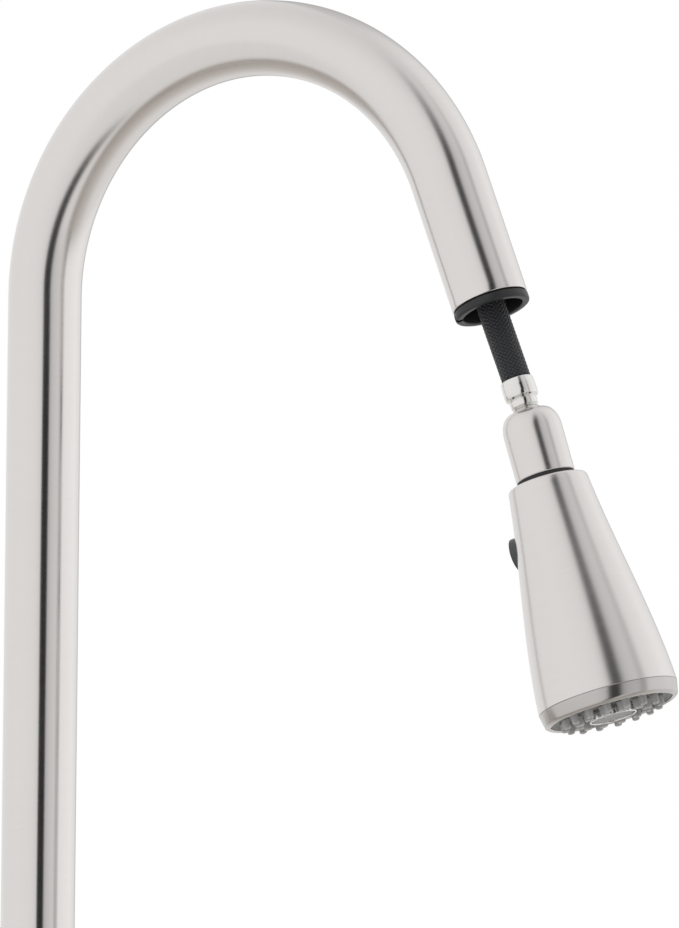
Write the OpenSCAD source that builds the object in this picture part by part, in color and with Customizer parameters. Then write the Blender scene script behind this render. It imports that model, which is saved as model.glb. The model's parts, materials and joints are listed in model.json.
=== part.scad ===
// Pull down kitchen faucet: gooseneck spout, spray wand on a braided hose,
// side lever valve and the parts under the deck. Millimetres.
// Origin: deck surface on the riser's axis. +Z up, +X the way the spout reaches, +Y the lever's side.

/* [Spout] */
// Outside diameter of the gooseneck tube
tube_d = 28; // [26:0.5:32]
// Wall of the gooseneck tube
tube_wall = 1.5; // [1:0.1:2]
// Height of the straight riser's top above the deck
riser_top = 360; // [300:1:432]
// Bend radius of the arch, to the tube's centreline
arch_r = 91.5; // [76:0.5:110]
// Straight length of tube after the arch
mouth_len = 48.5; // [44:0.5:60]

/* [Wand] */
// Distance from the spout's mouth to the ball joint, as the wand hangs
wand_out = 47; // [44:0.5:60]
// Length of the tapered shell
shell_len = 80.4; // [70:0.2:100]
// Radius at the shell's top
shell_top_r = 14.45; // [13.6:0.05:16]
// Radius at the shell's foot
shell_foot_r = 25.1; // [22.5:0.1:30]
// Wall of the shell
shell_wall = 1.8; // [1.4:0.1:2.2]
// Outside diameter of the neck that docks in the spout
neck_d = 21.4; // [21:0.1:22]
// Length of the neck from its shoulder to the shell
neck_len = 25.6; // [22:0.2:30]
// Height of the spray button
button_h = 12; // [9:0.5:13]
// Width of the spray button
button_w = 16; // [13:0.5:18]
// Nozzles in the outer ring of the spray face
outer_nozzles = 16; // [10:1:20]
// Nozzles in the inner ring of the spray face
inner_nozzles = 12; // [6:1:14]

/* [Hose] */
// Outside diameter of the braided hose
hose_d = 10.8; // [9:0.1:10.8]

/* [Body] */
// Diameter of the valve body
body_d = 46; // [44:1:56]
// Height of the valve body's top above the deck
body_h = 112; // [104:1:120]
// Diameter of the base ring on the deck
base_d = 56; // [54:1:68]
// Height of the cartridge's axis above the deck
lever_z = 54; // [50:1:60]
// Length of the lever from the cartridge's axis
lever_len = 95; // [70:1:120]
// Angle of the lever above level
lever_rest = 30; // [0:1:40]

/* [Mounting] */
// Outside diameter of the threaded shank
shank_d = 32.9; // [32.9:0.1:34]
// Length of the shank below the deck
shank_len = 62; // [50:1:80]
// Thickness of the deck between the base and the rubber washer
deck_t = 30; // [3:1:34]
// Depth of the inlet tubes below the deck
tail_len = 196; // [180:1:300]

/* [Hidden] */
$fn = 96;
gap = 0.05;
joint_bead = 0.12;
tube_step = 0.02;
tube_r = tube_d / 2;
bore_r = tube_r - tube_wall;
arch_sweep = 159.4;
droop = 3;
hose_r = hose_d / 2;
mouth = [
    arch_r * (1 - cos(arch_sweep)) + mouth_len * sin(arch_sweep),
    0,
    riser_top + arch_r * sin(arch_sweep) + mouth_len * cos(arch_sweep)
];

// wand stations, measured down the wand from the ball's centre
ball_r = 7;
neck_r = neck_d / 2;
neck_top = -4;
neck_hole_r = 6.4;
neck_foot = neck_top + neck_len;
seam_t = 1.2;
shell_top = neck_foot + seam_t;
shell_foot = shell_top + shell_len;
seat_r = neck_r - 1.5;
spigot_r = neck_r - 0.8;
valve_r = spigot_r - 1.7;
bezel_len = 5.2;
face_z = shell_foot + 0.3 + bezel_len;
bezel_in_r = shell_foot_r - 3.1;
button_z = shell_top + 21;
button_foot = shell_r_at(button_z) - 3.9;
block_top = neck_foot + 15.4;
block_len = 17;
block_r = 11;
stem_r = 3;
aerator_r = 8.6;
nozzle_tip = 2.1;
plate_t = 2;
plate_low = face_z - 0.8;
SHELL_STEPS = 14;
// every nozzle's place: [ring radius, count, nozzle radius, turn]
nozzle_rings = [[17.4, outer_nozzles, 1.35, 0], [12.6, inner_nozzles, 1.6, 15]];

// lining of the spout's mouth that the neck docks in
collar_t = 3.5;
collar_bore = neck_r + 0.4;

// valve stations, measured along +Y from the body's axis
body_r = body_d / 2;
boss_r = 18.5;
boss_end = 40;
main_r = 13.9;
seat_y = 17;
pocket_r = 14;
pivot_y = 35.5;
disc_r = 9.5;
disc_shift = 1.05;
stem_arm = 6.9;
dome_r = 18;
hub_r = dome_r + 3.3;
lever_root = 13;
lever_mid = pivot_y + 16;
screw_z = pivot_y + 17.5;
lever_w = 10;
lever_t = 5.6;
shank_r = shank_d / 2;
shank_in = 14;
foot_r = 12;
swivel_r = 15;
swivel_floor = body_h - 36;
washer_r = 26;
nut_top = -deck_t - 4.5;
nut_h = 10;
screw_at = 20.5;

// tubes through the shank: radius, and distance from the axis
pipe_r = 4;
pipe_ring = 9.7;
pipe_side = pipe_ring * cos(30);
pipe_front = pipe_ring * sin(30);
pipe_socket = pipe_r + joint_bead + gap;
hot_end = [-26, 14, -tail_len + 12];
cold_end = [0, 30, -tail_len + 12];

// hose routes, chosen by hand: inside the spout, down the shank, and the loop under the deck
spout_route = [
    [205, 0, 318.6], [194, 0, 347], [186, 0, 370], [177, 0, 392], [161, 0, 420], [138, 0, 439],
    [115, 0, 448.5], [91.5, 0, 451.5], [68, 0, 448.5], [46, 0, 439], [27, 0, 425], [13, 0, 406],
    [3, 0, 384], [0, 0, 360], [0, 0, 330], [0, 0, 300], [0, 0, 270], [0, 0, 240]
];
drop_route = [for (z = [236 : -32 : -372]) [0, 0, z]];
loop_route = [
    [0, 0, -372], [0, 0, -385], [3, 0, -400], [12, 0, -415], [26, 0, -425], [42, 0, -428],
    [58, 0, -425], [71, 0, -415], [79, 0, -400], [82, 0, -382], [80, 1, -362], [75, 1, -342],
    [68, 2, -320], [60, 3, -295], [52, 4, -270], [45, 5, -245], [38, 5, -220], [32, 5, -195],
    [27, 5, -170], [24, 5, -150], [24, 5, -132]
];
weight_top = -318;
weight_len = 50;
weight_r = 18;
coupling_at = [24, 5, -112];

// ---- places ----

// local Z runs out of the spout's mouth, local X points back to the riser
module at_mouth() {
    translate(mouth) rotate([0, arch_sweep, 0]) children();
}

// the wand's own frame: origin at the ball, Z down the wand
module at_wand() {
    at_mouth() translate([0, 0, wand_out]) rotate([0, droop, 0]) children();
}

// across the wand at the button: local Z points out through the button
module at_button() {
    at_wand() translate([0, 0, button_z]) rotate([0, 90, 0]) children();
}

// local Z runs out along the cartridge, which lies along +Y
module at_cartridge() {
    translate([0, 0, lever_z]) rotate([-90, 0, 0]) children();
}

// the same, turned so that local X runs along the lever
module at_lever() {
    translate([0, 0, lever_z]) rotate([0, -lever_rest, 0]) rotate([-90, 0, 0]) children();
}

// ---- shapes ----

module ring(out_r, in_r, z0, z1) {
    translate([0, 0, z0]) difference() {
        cylinder(r = out_r, h = z1 - z0);
        translate([0, 0, -1]) cylinder(r = in_r, h = z1 - z0 + 2);
    }
}

module rod(r, z0, z1) {
    translate([0, 0, z0]) cylinder(r = r, h = z1 - z0);
}

module hex_rod(flats, z0, z1) {
    translate([0, 0, z0]) linear_extrude(z1 - z0) circle(d = flats / cos(30), $fn = 6);
}

// a bar with round ends, w across X and l along Y
module slot_bar(w, l, z0, z1) {
    translate([0, 0, z0]) linear_extrude(z1 - z0) {
        square([w, l - w], center = true);
        for (s = [-1, 1]) translate([0, s * (l - w) / 2]) circle(d = w);
    }
}

// straight round rod between two points, with a slightly larger ball at its far end
module leg(a, b, r) {
    d = b - a;
    l = norm(d);
    translate(a) rotate([0, acos(d.z / l), atan2(d.y, d.x)]) cylinder(r = r, h = l);
    translate(b) sphere(r = r + joint_bead);
}

module bent_rod(points, r) {
    for (i = [0 : len(points) - 2]) leg(points[i], points[i + 1], r);
}

function unit(v) = v / norm(v);
function along(p, i) = unit(p[min(i + 1, len(p) - 1)] - p[max(i - 1, 0)]);

// round tube of radius r swept along points p; across[i] is a direction that isn't along the path there
module swept(p, r, sides, across) {
    rings = [for (i = [0 : len(p) - 1]) let (t = along(p, i), v = unit(cross(t, across[i])), u = cross(v, t))
        [for (k = [0 : sides - 1]) p[i] + r * (cos(360 * k / sides) * u + sin(360 * k / sides) * v)]];
    last = (len(p) - 1) * sides;
    walls = [for (i = [0 : len(p) - 2]) for (k = [0 : sides - 1])
        let (a = i * sides + k, b = i * sides + (k + 1) % sides)
        each [[a, a + sides, b + sides], [a, b + sides, b]]];
    start_cap = [for (k = [0 : sides - 1]) k];
    end_cap = [for (k = [sides - 1 : -1 : 0]) last + k];
    polyhedron(points = [for (q = rings) each q], faces = concat([start_cap], walls, [end_cap]), convexity = 8);
}

// a hose whose route stays near the XZ plane
module swept_hose(p, r) {
    swept(p, r, 12, [for (q = p) [0, 1, 0]]);
}

// the shell's outside radius at height share u, a gentle S curve
function shell_r(u) = pow(1 - u, 3) * shell_top_r
    + 3 * pow(1 - u, 2) * u * (shell_top_r + shell_len / 30)
    + 3 * (1 - u) * u * u * (shell_foot_r - shell_len / 62)
    + pow(u, 3) * shell_foot_r;
function shell_r_at(z) = shell_r((z - shell_top) / shell_len);

// quarter arc from angle a to b about a centre, in profile coordinates
function arc(c, r, a, b, n = 6) = [for (i = [0 : n]) c + r * [cos(a + (b - a) * i / n), sin(a + (b - a) * i / n)]];

// ---- base and valve body ----

module base_gasket() {
    color("dimgray") ring(base_d / 2 - 1, shank_r + 1.5, 0, 2);
}

module base_ring() {
    r = base_d / 2;
    color("silver") rotate_extrude() polygon(concat(
        [[shank_r + 0.6, 2], [r - 0.9, 2], [r - 0.9, 0.5], [r, 0.5]],
        arc([r - 2.5, 5.5], 2.5, 0, 90),
        [[shank_r + 0.6, 8]]
    ));
}

module valve_body() {
    shoulder = 6;
    color("silver") difference() {
        union() {
            rotate_extrude() polygon(concat(
                [[0, 8], [body_r, 8]],
                arc([body_r - shoulder, body_h - shoulder], shoulder, 0, 90, 8),
                [[0, body_h]]
            ));
            at_cartridge() rod(boss_r, 0, boss_end);
        }
        rod(shank_r + gap, 7, 22);
        rod(main_r, 21, swivel_floor + 1);
        rod(swivel_r, swivel_floor, body_h + 1);
        at_cartridge() rod(pocket_r, seat_y, boss_end + 1);
        translate([-pipe_side, 0, lever_z - 5]) rotate([-90, 0, 0]) rod(3, 6, seat_y + 1);
        translate([pipe_side, 0, lever_z - 5]) rotate([-90, 0, 0]) rod(3, 6, seat_y + 1);
        translate([0, 0, lever_z + 8]) rotate([-90, 0, 0]) rod(3, 6, seat_y + 1);
        translate([0, 0, body_h - 20.4]) rotate([0, -90, 0]) rod(2.5, foot_r, body_r + 1);
    }
}

module shank() {
    pitch = 2;
    color("goldenrod") difference() {
        ring(shank_r, shank_in, -shank_len, 22);
        for (z = [-shank_len + 2 : pitch : -4])
            ring(shank_r + 1, shank_r - 0.7, z, z + pitch / 2);
    }
}

module rubber_washer() {
    color("dimgray") ring(washer_r, shank_r + 0.3, -deck_t - 3, -deck_t);
}

module steel_washer() {
    color("gainsboro") ring(washer_r, shank_r + 0.3, nut_top, -deck_t - 3);
}

module mounting_nut() {
    color("goldenrod") difference() {
        hex_rod(50, nut_top - nut_h, nut_top);
        rod(shank_r + gap, nut_top - nut_h - 1, nut_top + 1);
        for (s = [-1, 1]) translate([s * screw_at, 0, 0]) rod(2.5, nut_top - nut_h - 1, nut_top + 1);
    }
}

module clamp_screws() {
    color("gainsboro") for (s = [-1, 1]) translate([s * screw_at, 0, 0]) {
        rod(2.45, nut_top - nut_h - 12, nut_top);
        difference() {
            rod(3.9, nut_top - nut_h - 15, nut_top - nut_h - 12);
            hex_rod(4, nut_top - nut_h - 16, nut_top - nut_h - 13.5);
        }
    }
}

// a tube that stands in the shank, turns into the seat at its top and spreads below
module inlet_tube(x, y, top, low) {
    color("peru") difference() {
        union() {
            bent_rod(concat([[x, y, top]], low), pipe_r);
            translate([x, y, top]) sphere(r = pipe_r + joint_bead);
            translate([x, y, top]) rotate([-90, 0, 0]) rod(2.95, 0, seat_y - y - 0.2);
        }
        bent_rod(concat([[x, y, top]], low), pipe_r - 1);
        translate(low[len(low) - 1]) rod(pipe_r + 1, -pipe_r - 1, 0);
        translate([x, y, top]) rotate([-90, 0, 0]) rod(1.9, 0, seat_y - y);
    }
}

module hot_inlet_tube() {
    inlet_tube(-pipe_side, pipe_front, lever_z - 5,
        [[-pipe_side, pipe_front, -shank_len - 6], [hot_end.x, hot_end.y, -shank_len - 40], hot_end]);
}

module cold_inlet_tube() {
    inlet_tube(0, pipe_ring, lever_z + 8,
        [[0, pipe_ring, -shank_len - 6], [cold_end.x, cold_end.y, -shank_len - 40], cold_end]);
}

module outlet_tube() {
    inlet_tube(pipe_side, pipe_front, lever_z - 5,
        [[pipe_side, pipe_front, -shank_len - 4], [coupling_at.x, coupling_at.y, -shank_len - 26],
         [coupling_at.x, coupling_at.y, coupling_at.z + 8]]);
}

// compression ends for the supply hoses
module inlet_fittings() {
    color("goldenrod") for (e = [hot_end, cold_end]) translate([e.x, e.y, 0]) difference() {
        union() {
            rod(7.15, -tail_len, -tail_len + 11);
            hex_rod(15, -tail_len + 11, -tail_len + 20);
        }
        rod(pipe_socket, -tail_len + 12, -tail_len + 21);
        rod(2.8, -tail_len - 1, -tail_len + 13);
    }
}

module quick_coupling() {
    color("dimgray") translate(coupling_at) difference() {
        union() {
            rod(7.6, 0, 22);
            rod(8.6, 3, 8);
            rod(8.6, 14, 19);
        }
        rod(pipe_socket, 8, 23);
        rod(3.2, -1, 9);
    }
}

module hose_tail_fitting() {
    color("silver") translate([coupling_at.x, coupling_at.y, -132]) difference() {
        union() {
            rod(hose_r + 0.9, 0, 13);
            rod(4.4, 13, 20);
        }
        rod(hose_r + gap, -1, 11);
        rod(2.5, 10, 21);
    }
}

// ---- cartridge ----

// the three water ways through the cartridge's fixed pieces
module water_ways(r, z0, z1) {
    for (p = [[-pipe_side, 5], [pipe_side, 5], [0, -8]]) translate([p.x, p.y, 0]) rod(r, z0, z1);
}

module cartridge_seal() {
    color("dimgray") at_cartridge() difference() {
        rod(pocket_r - 0.5, seat_y, seat_y + 0.8);
        water_ways(2.3, seat_y - 1, seat_y + 2);
    }
}

module cartridge_body() {
    color("whitesmoke") at_cartridge() difference() {
        rod(pocket_r - gap, seat_y + 0.8, boss_end - 2);
        rod(12.2, seat_y + 3, boss_end);
        water_ways(2.1, seat_y, seat_y + 4);
    }
}

module fixed_disc() {
    color("ivory") at_cartridge() difference() {
        rod(12.1, seat_y + 3, seat_y + 5.5);
        water_ways(2, seat_y + 2, seat_y + 6);
    }
}

module moving_disc() {
    color("ivory") at_lever() translate([-disc_shift, 0, 0]) difference() {
        rod(disc_r, seat_y + 5.55, seat_y + 8);
        rod(5, seat_y + 5, seat_y + 6.8);
    }
}

module disc_driver() {
    color("cornflowerblue") at_lever() difference() {
        translate([-disc_shift, 0, 0]) rod(disc_r - 1, seat_y + 8, seat_y + 12);
        rod(3.25, seat_y + 8.6, seat_y + 13);
    }
}

module stem_carrier() {
    color("cornflowerblue") at_lever() difference() {
        rod(12.1, seat_y + 12.3, boss_end - 2.2);
        translate([-5.3, -3.1, seat_y + 12]) cube([10.6, 6.2, 12]);
        translate([0, 0, pivot_y]) rotate([90, 0, 0]) translate([0, 0, -20]) cylinder(r = 1.5, h = 40);
    }
}

module lift_pin() {
    color("gainsboro") at_lever() translate([0, 0, pivot_y]) rotate([90, 0, 0]) rod(1.45, -11, 11);
}

module lever_stem() {
    ball_y = pivot_y - stem_arm;
    color("goldenrod") at_lever() difference() {
        union() {
            translate([0, 0, ball_y]) sphere(r = 2.95);
            rod(2, ball_y, pivot_y);
            rod(2.95, pivot_y - 3.4, pivot_y + 4);
            translate([-2.9, -2.9, pivot_y + 3.4]) cube([5.8, 5.8, 15.9]);
        }
        translate([0, 0, pivot_y]) rotate([90, 0, 0]) translate([0, 0, -5]) cylinder(r = 1.5, h = 10);
    }
}

module bonnet_nut() {
    color("goldenrod") at_cartridge() ring(pocket_r - gap, 9.8, boss_end - 2, boss_end + 1.2);
}

module bonnet_dome() {
    color("silver") at_cartridge() difference() {
        intersection() {
            translate([0, 0, pivot_y]) sphere(r = dome_r);
            rod(boss_r, boss_end, pivot_y + 16);
        }
        translate([0, 0, pivot_y]) sphere(r = dome_r - 1.8);
        rod(10, boss_end, pivot_y + 20);
        rod(pocket_r + gap, boss_end - 1, boss_end + 1.3);
        // room for the clamp screw under the hub, at any turn and lift of the lever
        rotate([0, 0, 76]) rotate_extrude(angle = 118) translate([9, pivot_y]) square([4.2, dome_r]);
    }
}

module handle_hub() {
    boss_z = pivot_y + 15.5;
    color("silver") at_lever() difference() {
        union() {
            difference() {
                intersection() {
                    translate([0, 0, pivot_y]) sphere(r = hub_r);
                    rod(hub_r, pivot_y + 10.5, pivot_y + hub_r);
                }
                translate([0, 0, pivot_y]) sphere(r = dome_r + 0.3);
            }
            rod(5, boss_z, pivot_y + 19);
        }
        translate([-2.95, -2.95, boss_z - 1]) cube([5.9, 5.9, 5]);
        translate([lever_root, -lever_w / 2 - gap, lever_mid - lever_t / 2 - gap])
            cube([10, lever_w + 2 * gap, lever_t + 2 * gap]);
        translate([0, 0, screw_z]) rotate([0, 90, 0]) rod(1.5, -16, 0);
    }
}

module handle_screw() {
    color("gray") at_lever() translate([0, 0, screw_z]) rotate([0, 90, 0]) difference() {
        rod(1.45, -11.5, -2.95);
        hex_rod(1.3, -12, -10);
    }
}

module handle_lever() {
    tip = lever_len - 6;
    color("silver") at_lever() {
        hull() {
            translate([lever_root + 5.2, 0, lever_mid]) cube([0.4, lever_w, lever_t], center = true);
            translate([tip, 0, lever_mid + 1.5]) cylinder(r = 6, h = 2.6, center = true, $fn = 32);
            translate([tip, 0, lever_mid + 1.5]) cylinder(r = 5.2, h = 4, center = true, $fn = 32);
        }
        translate([lever_root + 0.1, -lever_w / 2, lever_mid - lever_t / 2])
            cube([5.2, lever_w, lever_t]);
    }
}

// ---- spout ----

// the tube's path as a solid of radius r, run on past both ends by extra
module tube_path(r, extra) {
    translate([0, 0, body_h + 1 - extra]) cylinder(r = r, h = riser_top - body_h - 1 + extra);
    translate([arch_r, 0, riser_top]) rotate([90, 0, 0]) rotate([0, 0, 180 - arch_sweep])
        rotate_extrude(angle = arch_sweep) translate([arch_r, 0]) circle(r = r - tube_step);
    at_mouth() rod(r, -mouth_len, extra);
}

module spout_tube() {
    color("silver") difference() {
        tube_path(tube_r, 0);
        tube_path(bore_r, 1);
    }
}

module spout_foot() {
    color("goldenrod") difference() {
        union() {
            rod(bore_r - gap, body_h + 1, body_h + 28);
            rod(foot_r, swivel_floor + 2, body_h + 1);
        }
        rod(hose_r + 2.6, swivel_floor + 1, body_h + 29);
        ring(foot_r + 1, foot_r - 1.2, body_h - 22, body_h - 18.8);
    }
}

module spout_screw() {
    color("gray") translate([0, 0, body_h - 20.4]) rotate([0, -90, 0]) difference() {
        union() {
            rod(2.45, foot_r + 0.6, body_r - 0.2);
            rod(1.3, foot_r - 0.8, foot_r + 0.6);
        }
        hex_rod(2.5, body_r - 3, body_r + 1);
    }
}

module upper_glide_ring() {
    color("whitesmoke") {
        ring(swivel_r - gap, foot_r + gap, body_h - 12, body_h);
        ring(swivel_r + 1.5, foot_r + gap, body_h, body_h + 0.8);
    }
}

module lower_glide_ring() {
    color("whitesmoke") ring(swivel_r - gap, foot_r + gap, swivel_floor + 2, swivel_floor + 10);
}

module spout_trim_ring() {
    r = tube_r + 2;
    color("silver") rotate_extrude() polygon(concat(
        [[tube_r + gap, body_h + 1], [r, body_h + 1]],
        arc([r - 1, body_h + 4], 1, 0, 90, 4),
        [[tube_r + gap, body_h + 5]]
    ));
}

module dock_collar() {
    color("gray") at_mouth() difference() {
        union() {
            ring(bore_r - gap, collar_bore, -18, 0.6);
            ring(tube_r - 0.1, collar_bore, 0.6, collar_t);
        }
        rotate([0, 0, -33]) translate([0, -1.25, 1.6]) cube([tube_r + 2, 2.5, collar_t]);
    }
}

module dock_magnet() {
    color("dimgray") at_mouth() ring(bore_r - gap, collar_bore + 0.1, -26, -18);
}

module hose_upper() {
    color("black") difference() {
        swept_hose(spout_route, hose_r);
        at_mouth() rod(hose_r + 2, wand_out - 19.1, wand_out);
    }
}

module hose_drop() {
    color("black") swept_hose(drop_route, hose_r);
}

module hose_loop() {
    color("black") swept_hose(loop_route, hose_r);
}

// ---- hose end ----

module hose_ferrule() {
    r = hose_r + 0.6;
    color("silver") at_mouth() translate([0, 0, wand_out]) difference() {
        rotate_extrude() polygon([
            [0, -16.4], [r - 0.3, -16.4], [r, -16], [r + 0.15, -13.6], [r + 0.15, -10.8],
            [r, -9.7], [r - 0.8, -9.2], [r - 1.3, -8.9], [r - 1, -8.5], [r - 1.1, -6.2], [0, -6.2]
        ]);
        rod(2.5, -20, -5);
    }
}

module hose_ball() {
    color("silver") at_mouth() translate([0, 0, wand_out]) difference() {
        union() {
            rod(4, -6.2, 0);
            sphere(r = ball_r);
        }
        rod(2.4, -7, 8);
        rod(ball_r, -ball_r - 1, -6.2);
    }
}

module ball_seat() {
    color("whitesmoke") at_wand() difference() {
        union() {
            rod(seat_r - 0.6, -1, 1.1);
            rod(seat_r - 0.1, 1.1, 7);
        }
        sphere(r = ball_r + 0.06);
        rod(4, 0, 8);
    }
}

// ---- wand ----

module wand_neck() {
    dome = neck_r - neck_hole_r;
    dome_h = 7.4;
    color("silver") at_wand() difference() {
        rotate_extrude() polygon(concat(
            [[neck_hole_r, neck_top]],
            [for (i = [1 : 7]) [neck_hole_r + dome * sin(90 * i / 7), neck_top + dome_h * (1 - cos(90 * i / 7))]],
            [[neck_r, neck_foot], [spigot_r, neck_foot], [spigot_r, neck_foot + 15],
             [0, neck_foot + 15], [0, neck_top]]
        ));
        sphere(r = ball_r + 0.06);
        rod(neck_hole_r, neck_top - 1, 0);
        rod(seat_r - 0.55, -1.05, 1.1);
        rod(seat_r, 1.05, 20);
        rod(valve_r, 19, neck_foot + 16);
    }
}

module docking_insert() {
    color("gainsboro") at_wand() ring(seat_r - gap, valve_r + 0.1, 10, 20);
}

module inlet_screen() {
    color("lightgray") at_wand() difference() {
        rod(seat_r - gap, 7.1, 9.9);
        for (k = [0 : 5]) rotate([0, 0, 60 * k]) translate([4.2, 0, 0]) rod(1.4, 6, 11);
        rod(1.6, 6, 11);
    }
}

module check_valve() {
    color("whitesmoke") at_wand() difference() {
        rod(valve_r - gap, 20.1, neck_foot + 14);
        rod(4.2, 24, neck_foot + 15);
        for (k = [0 : 3]) rotate([0, 0, 90 * k]) translate([4, 0, 0]) rod(1.3, 19, 25);
    }
}

module seam_ring() {
    color("black") at_wand() ring(neck_r - 0.35, spigot_r + gap, neck_foot, shell_top);
}

// the button's window through the shell
module button_window(grow) {
    at_button() slot_bar(button_h + grow, button_w + grow, shell_top_r - 7, shell_foot_r);
}

module wand_shell() {
    edge = 0.9;
    outside = concat(
        arc([shell_top_r - edge, shell_top + edge], edge, -90, 0, 4),
        [for (i = [1 : SHELL_STEPS]) [shell_r(i / SHELL_STEPS), shell_top + shell_len * i / SHELL_STEPS]]
    );
    inside = [for (i = [SHELL_STEPS : -1 : 1])
        [shell_r(i / SHELL_STEPS) - shell_wall, shell_top + shell_len * i / SHELL_STEPS]];
    color("silver") difference() {
        at_wand() rotate_extrude() polygon(concat(
            outside, inside,
            [[shell_top_r - shell_wall, shell_top + 3], [spigot_r + gap, shell_top + 3], [spigot_r + gap, shell_top]]
        ));
        button_window(0.8);
    }
}

module diverter_housing() {
    color("lightgray") at_wand() difference() {
        union() {
            rod(block_r, block_top, block_top + block_len);
            rod(valve_r - gap, block_top - 0.4, block_top);
        }
        for (s = [-1, 1]) translate([0, s * 6, 0]) rod(2, block_top - 1, block_top + block_len + 1);
        translate([0, 0, button_z]) rotate([0, 90, 0]) rod(stem_r + gap, -8, block_r + 1);
    }
}

module diverter_stem() {
    color("cornflowerblue") at_button() difference() {
        union() {
            rod(stem_r - 1.5, -1.4, 0);
            rod(stem_r - 0.9, 0, button_foot);
            rod(stem_r, 0, 2.4);
            rod(stem_r, 6.5, 8.6);
        }
        rod(0.8, -2, 4);
    }
}

// return spring behind the stem, a wire coil
module diverter_spring() {
    turns = 4;
    wire = 0.35;
    coil_r = stem_r - 0.8;
    low = -7.4;
    high = -0.2;
    steps = turns * 10;
    route = [for (i = [0 : steps]) [coil_r * cos(360 * turns * i / steps),
        coil_r * sin(360 * turns * i / steps), low + wire + (high - low - 2 * wire) * i / steps]];
    color("gainsboro") at_button() swept(route, wire, 6, [for (q = route) [q.x, q.y, 0]]);
}

module spray_button() {
    r = shell_r_at(button_z);
    proud = 2.9;
    crown = 15;
    color("dimgray") at_button() {
        intersection() {
            slot_bar(button_h, button_w, button_foot, r + proud);
            translate([0, 0, r + proud - crown]) sphere(r = crown);
        }
    }
}

module spray_tube() {
    color("lightgray") at_wand() {
        ring(8, 6.4, block_top + block_len, shell_foot - 16);
        ring(9.6, 8, block_top + block_len, block_top + block_len + 1.5);
    }
}

module spray_chamber() {
    r = bezel_in_r - 1.6;
    color("lightgray") at_wand() difference() {
        union() {
            rod(r - 4, shell_foot - 16, shell_foot - 9);
            rod(r, shell_foot - 9, shell_foot + 0.5);
        }
        rod(6.4, shell_foot - 17, shell_foot - 12);
        rod(r - 2, shell_foot - 7, shell_foot + 1);
        for (k = [0 : 7]) rotate([0, 0, 45 * k]) translate([5, 0, 0]) rod(1.3, shell_foot - 13, shell_foot - 6);
    }
}

module bezel_ring() {
    top = shell_foot + 0.3;
    foot = face_z;
    color("silver") at_wand() {
        rotate_extrude() polygon(concat(
            [[bezel_in_r, top], [shell_foot_r - 0.05, top], [shell_foot_r - 0.35, foot - 2.4]],
            arc([shell_foot_r - 2.15, foot - 1.9], 1.8, 0, 90, 5),
            [[bezel_in_r + 0.25, foot - 0.1], [bezel_in_r, foot - 0.5]]
        ));
        ring(shell_r_at(shell_foot - 6) - shell_wall - 0.1, bezel_in_r - 1.3, shell_foot - 6, top);
    }
}

module each_nozzle() {
    for (n = nozzle_rings) for (k = [0 : n[1] - 1])
        rotate([0, 0, n[3] + 360 * k / n[1]]) translate([n[0], 0, 0]) children_nozzle(n[2]);
}

module children_nozzle(r) {
    rotate_extrude() polygon([
        [0, plate_low - plate_t - 0.6], [r, plate_low - plate_t - 0.6], [r, plate_low],
        [r, plate_low + 0.2], [r - 0.15, face_z + nozzle_tip - 0.5], [r - 0.5, face_z + nozzle_tip],
        [0.45, face_z + nozzle_tip], [0.45, face_z + nozzle_tip - 1.6], [0, face_z + nozzle_tip - 1.6]
    ], $fn = 24);
}

module face_plate() {
    color("dimgray") at_wand() difference() {
        rod(bezel_in_r - gap, plate_low - plate_t, plate_low);
        rod(aerator_r + 1.2, plate_low - plate_t - 1, plate_low + 1);
        for (n = nozzle_rings) for (k = [0 : n[1] - 1])
            rotate([0, 0, n[3] + 360 * k / n[1]]) translate([n[0], 0, 0])
                rod(n[2] + gap, plate_low - plate_t - 1, plate_low + 1);
    }
}

module nozzle_pad() {
    pad_top = plate_low - plate_t - 1.2;
    color("gray") at_wand() {
        ring(bezel_in_r - 1.7, aerator_r + 1.2, pad_top, plate_low - plate_t);
        each_nozzle();
    }
}

module aerator_ring() {
    low = face_z + 1.7;
    color("silver") at_wand() difference() {
        union() {
            rod(aerator_r, low - 8.5, low);
            rod(aerator_r + 1.1, low - 8.5, low - 5.2);
        }
        rod(aerator_r - 0.9, low - 9, low + 1);
    }
}

module aerator_core() {
    low = face_z + 1.0;
    r = aerator_r - 0.95;
    cell = 1.5;
    color("lightgray") at_wand() difference() {
        rod(r, low - 6.5, low);
        for (i = [-4 : 4]) for (j = [-4 : 4]) if (norm([i, j]) * cell < r - 1)
            translate([i * cell - 0.55, j * cell - 0.55, low - 3]) cube([1.1, 1.1, 4]);
    }
}

// ---- counterweight ----

module weight_halves() {
    color("dimgray") difference() {
        union() {
            rod(weight_r - 2, weight_top - weight_len, weight_top);
            rod(weight_r, weight_top - weight_len + 2, weight_top - 2);
        }
        rod(hose_r + gap, weight_top - weight_len - 1, weight_top + 1);
        translate([-0.3, -30, weight_top - weight_len - 1]) cube([0.6, 60, weight_len + 2]);
        for (z = [-12, -38]) for (s = [-1, 1]) translate([0, s * 11.5, weight_top + z]) rotate([0, 90, 0]) {
            rod(1.8, -20, 20);
            rod(3.2, 11, 20);
        }
    }
}

module weight_screws() {
    color("gainsboro") for (z = [-12, -38]) for (s = [-1, 1])
        translate([0, s * 11.5, weight_top + z]) rotate([0, 90, 0]) {
            rod(1.75, -13, 11);
            rod(3.1, 11, 13);
        }
}

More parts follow.
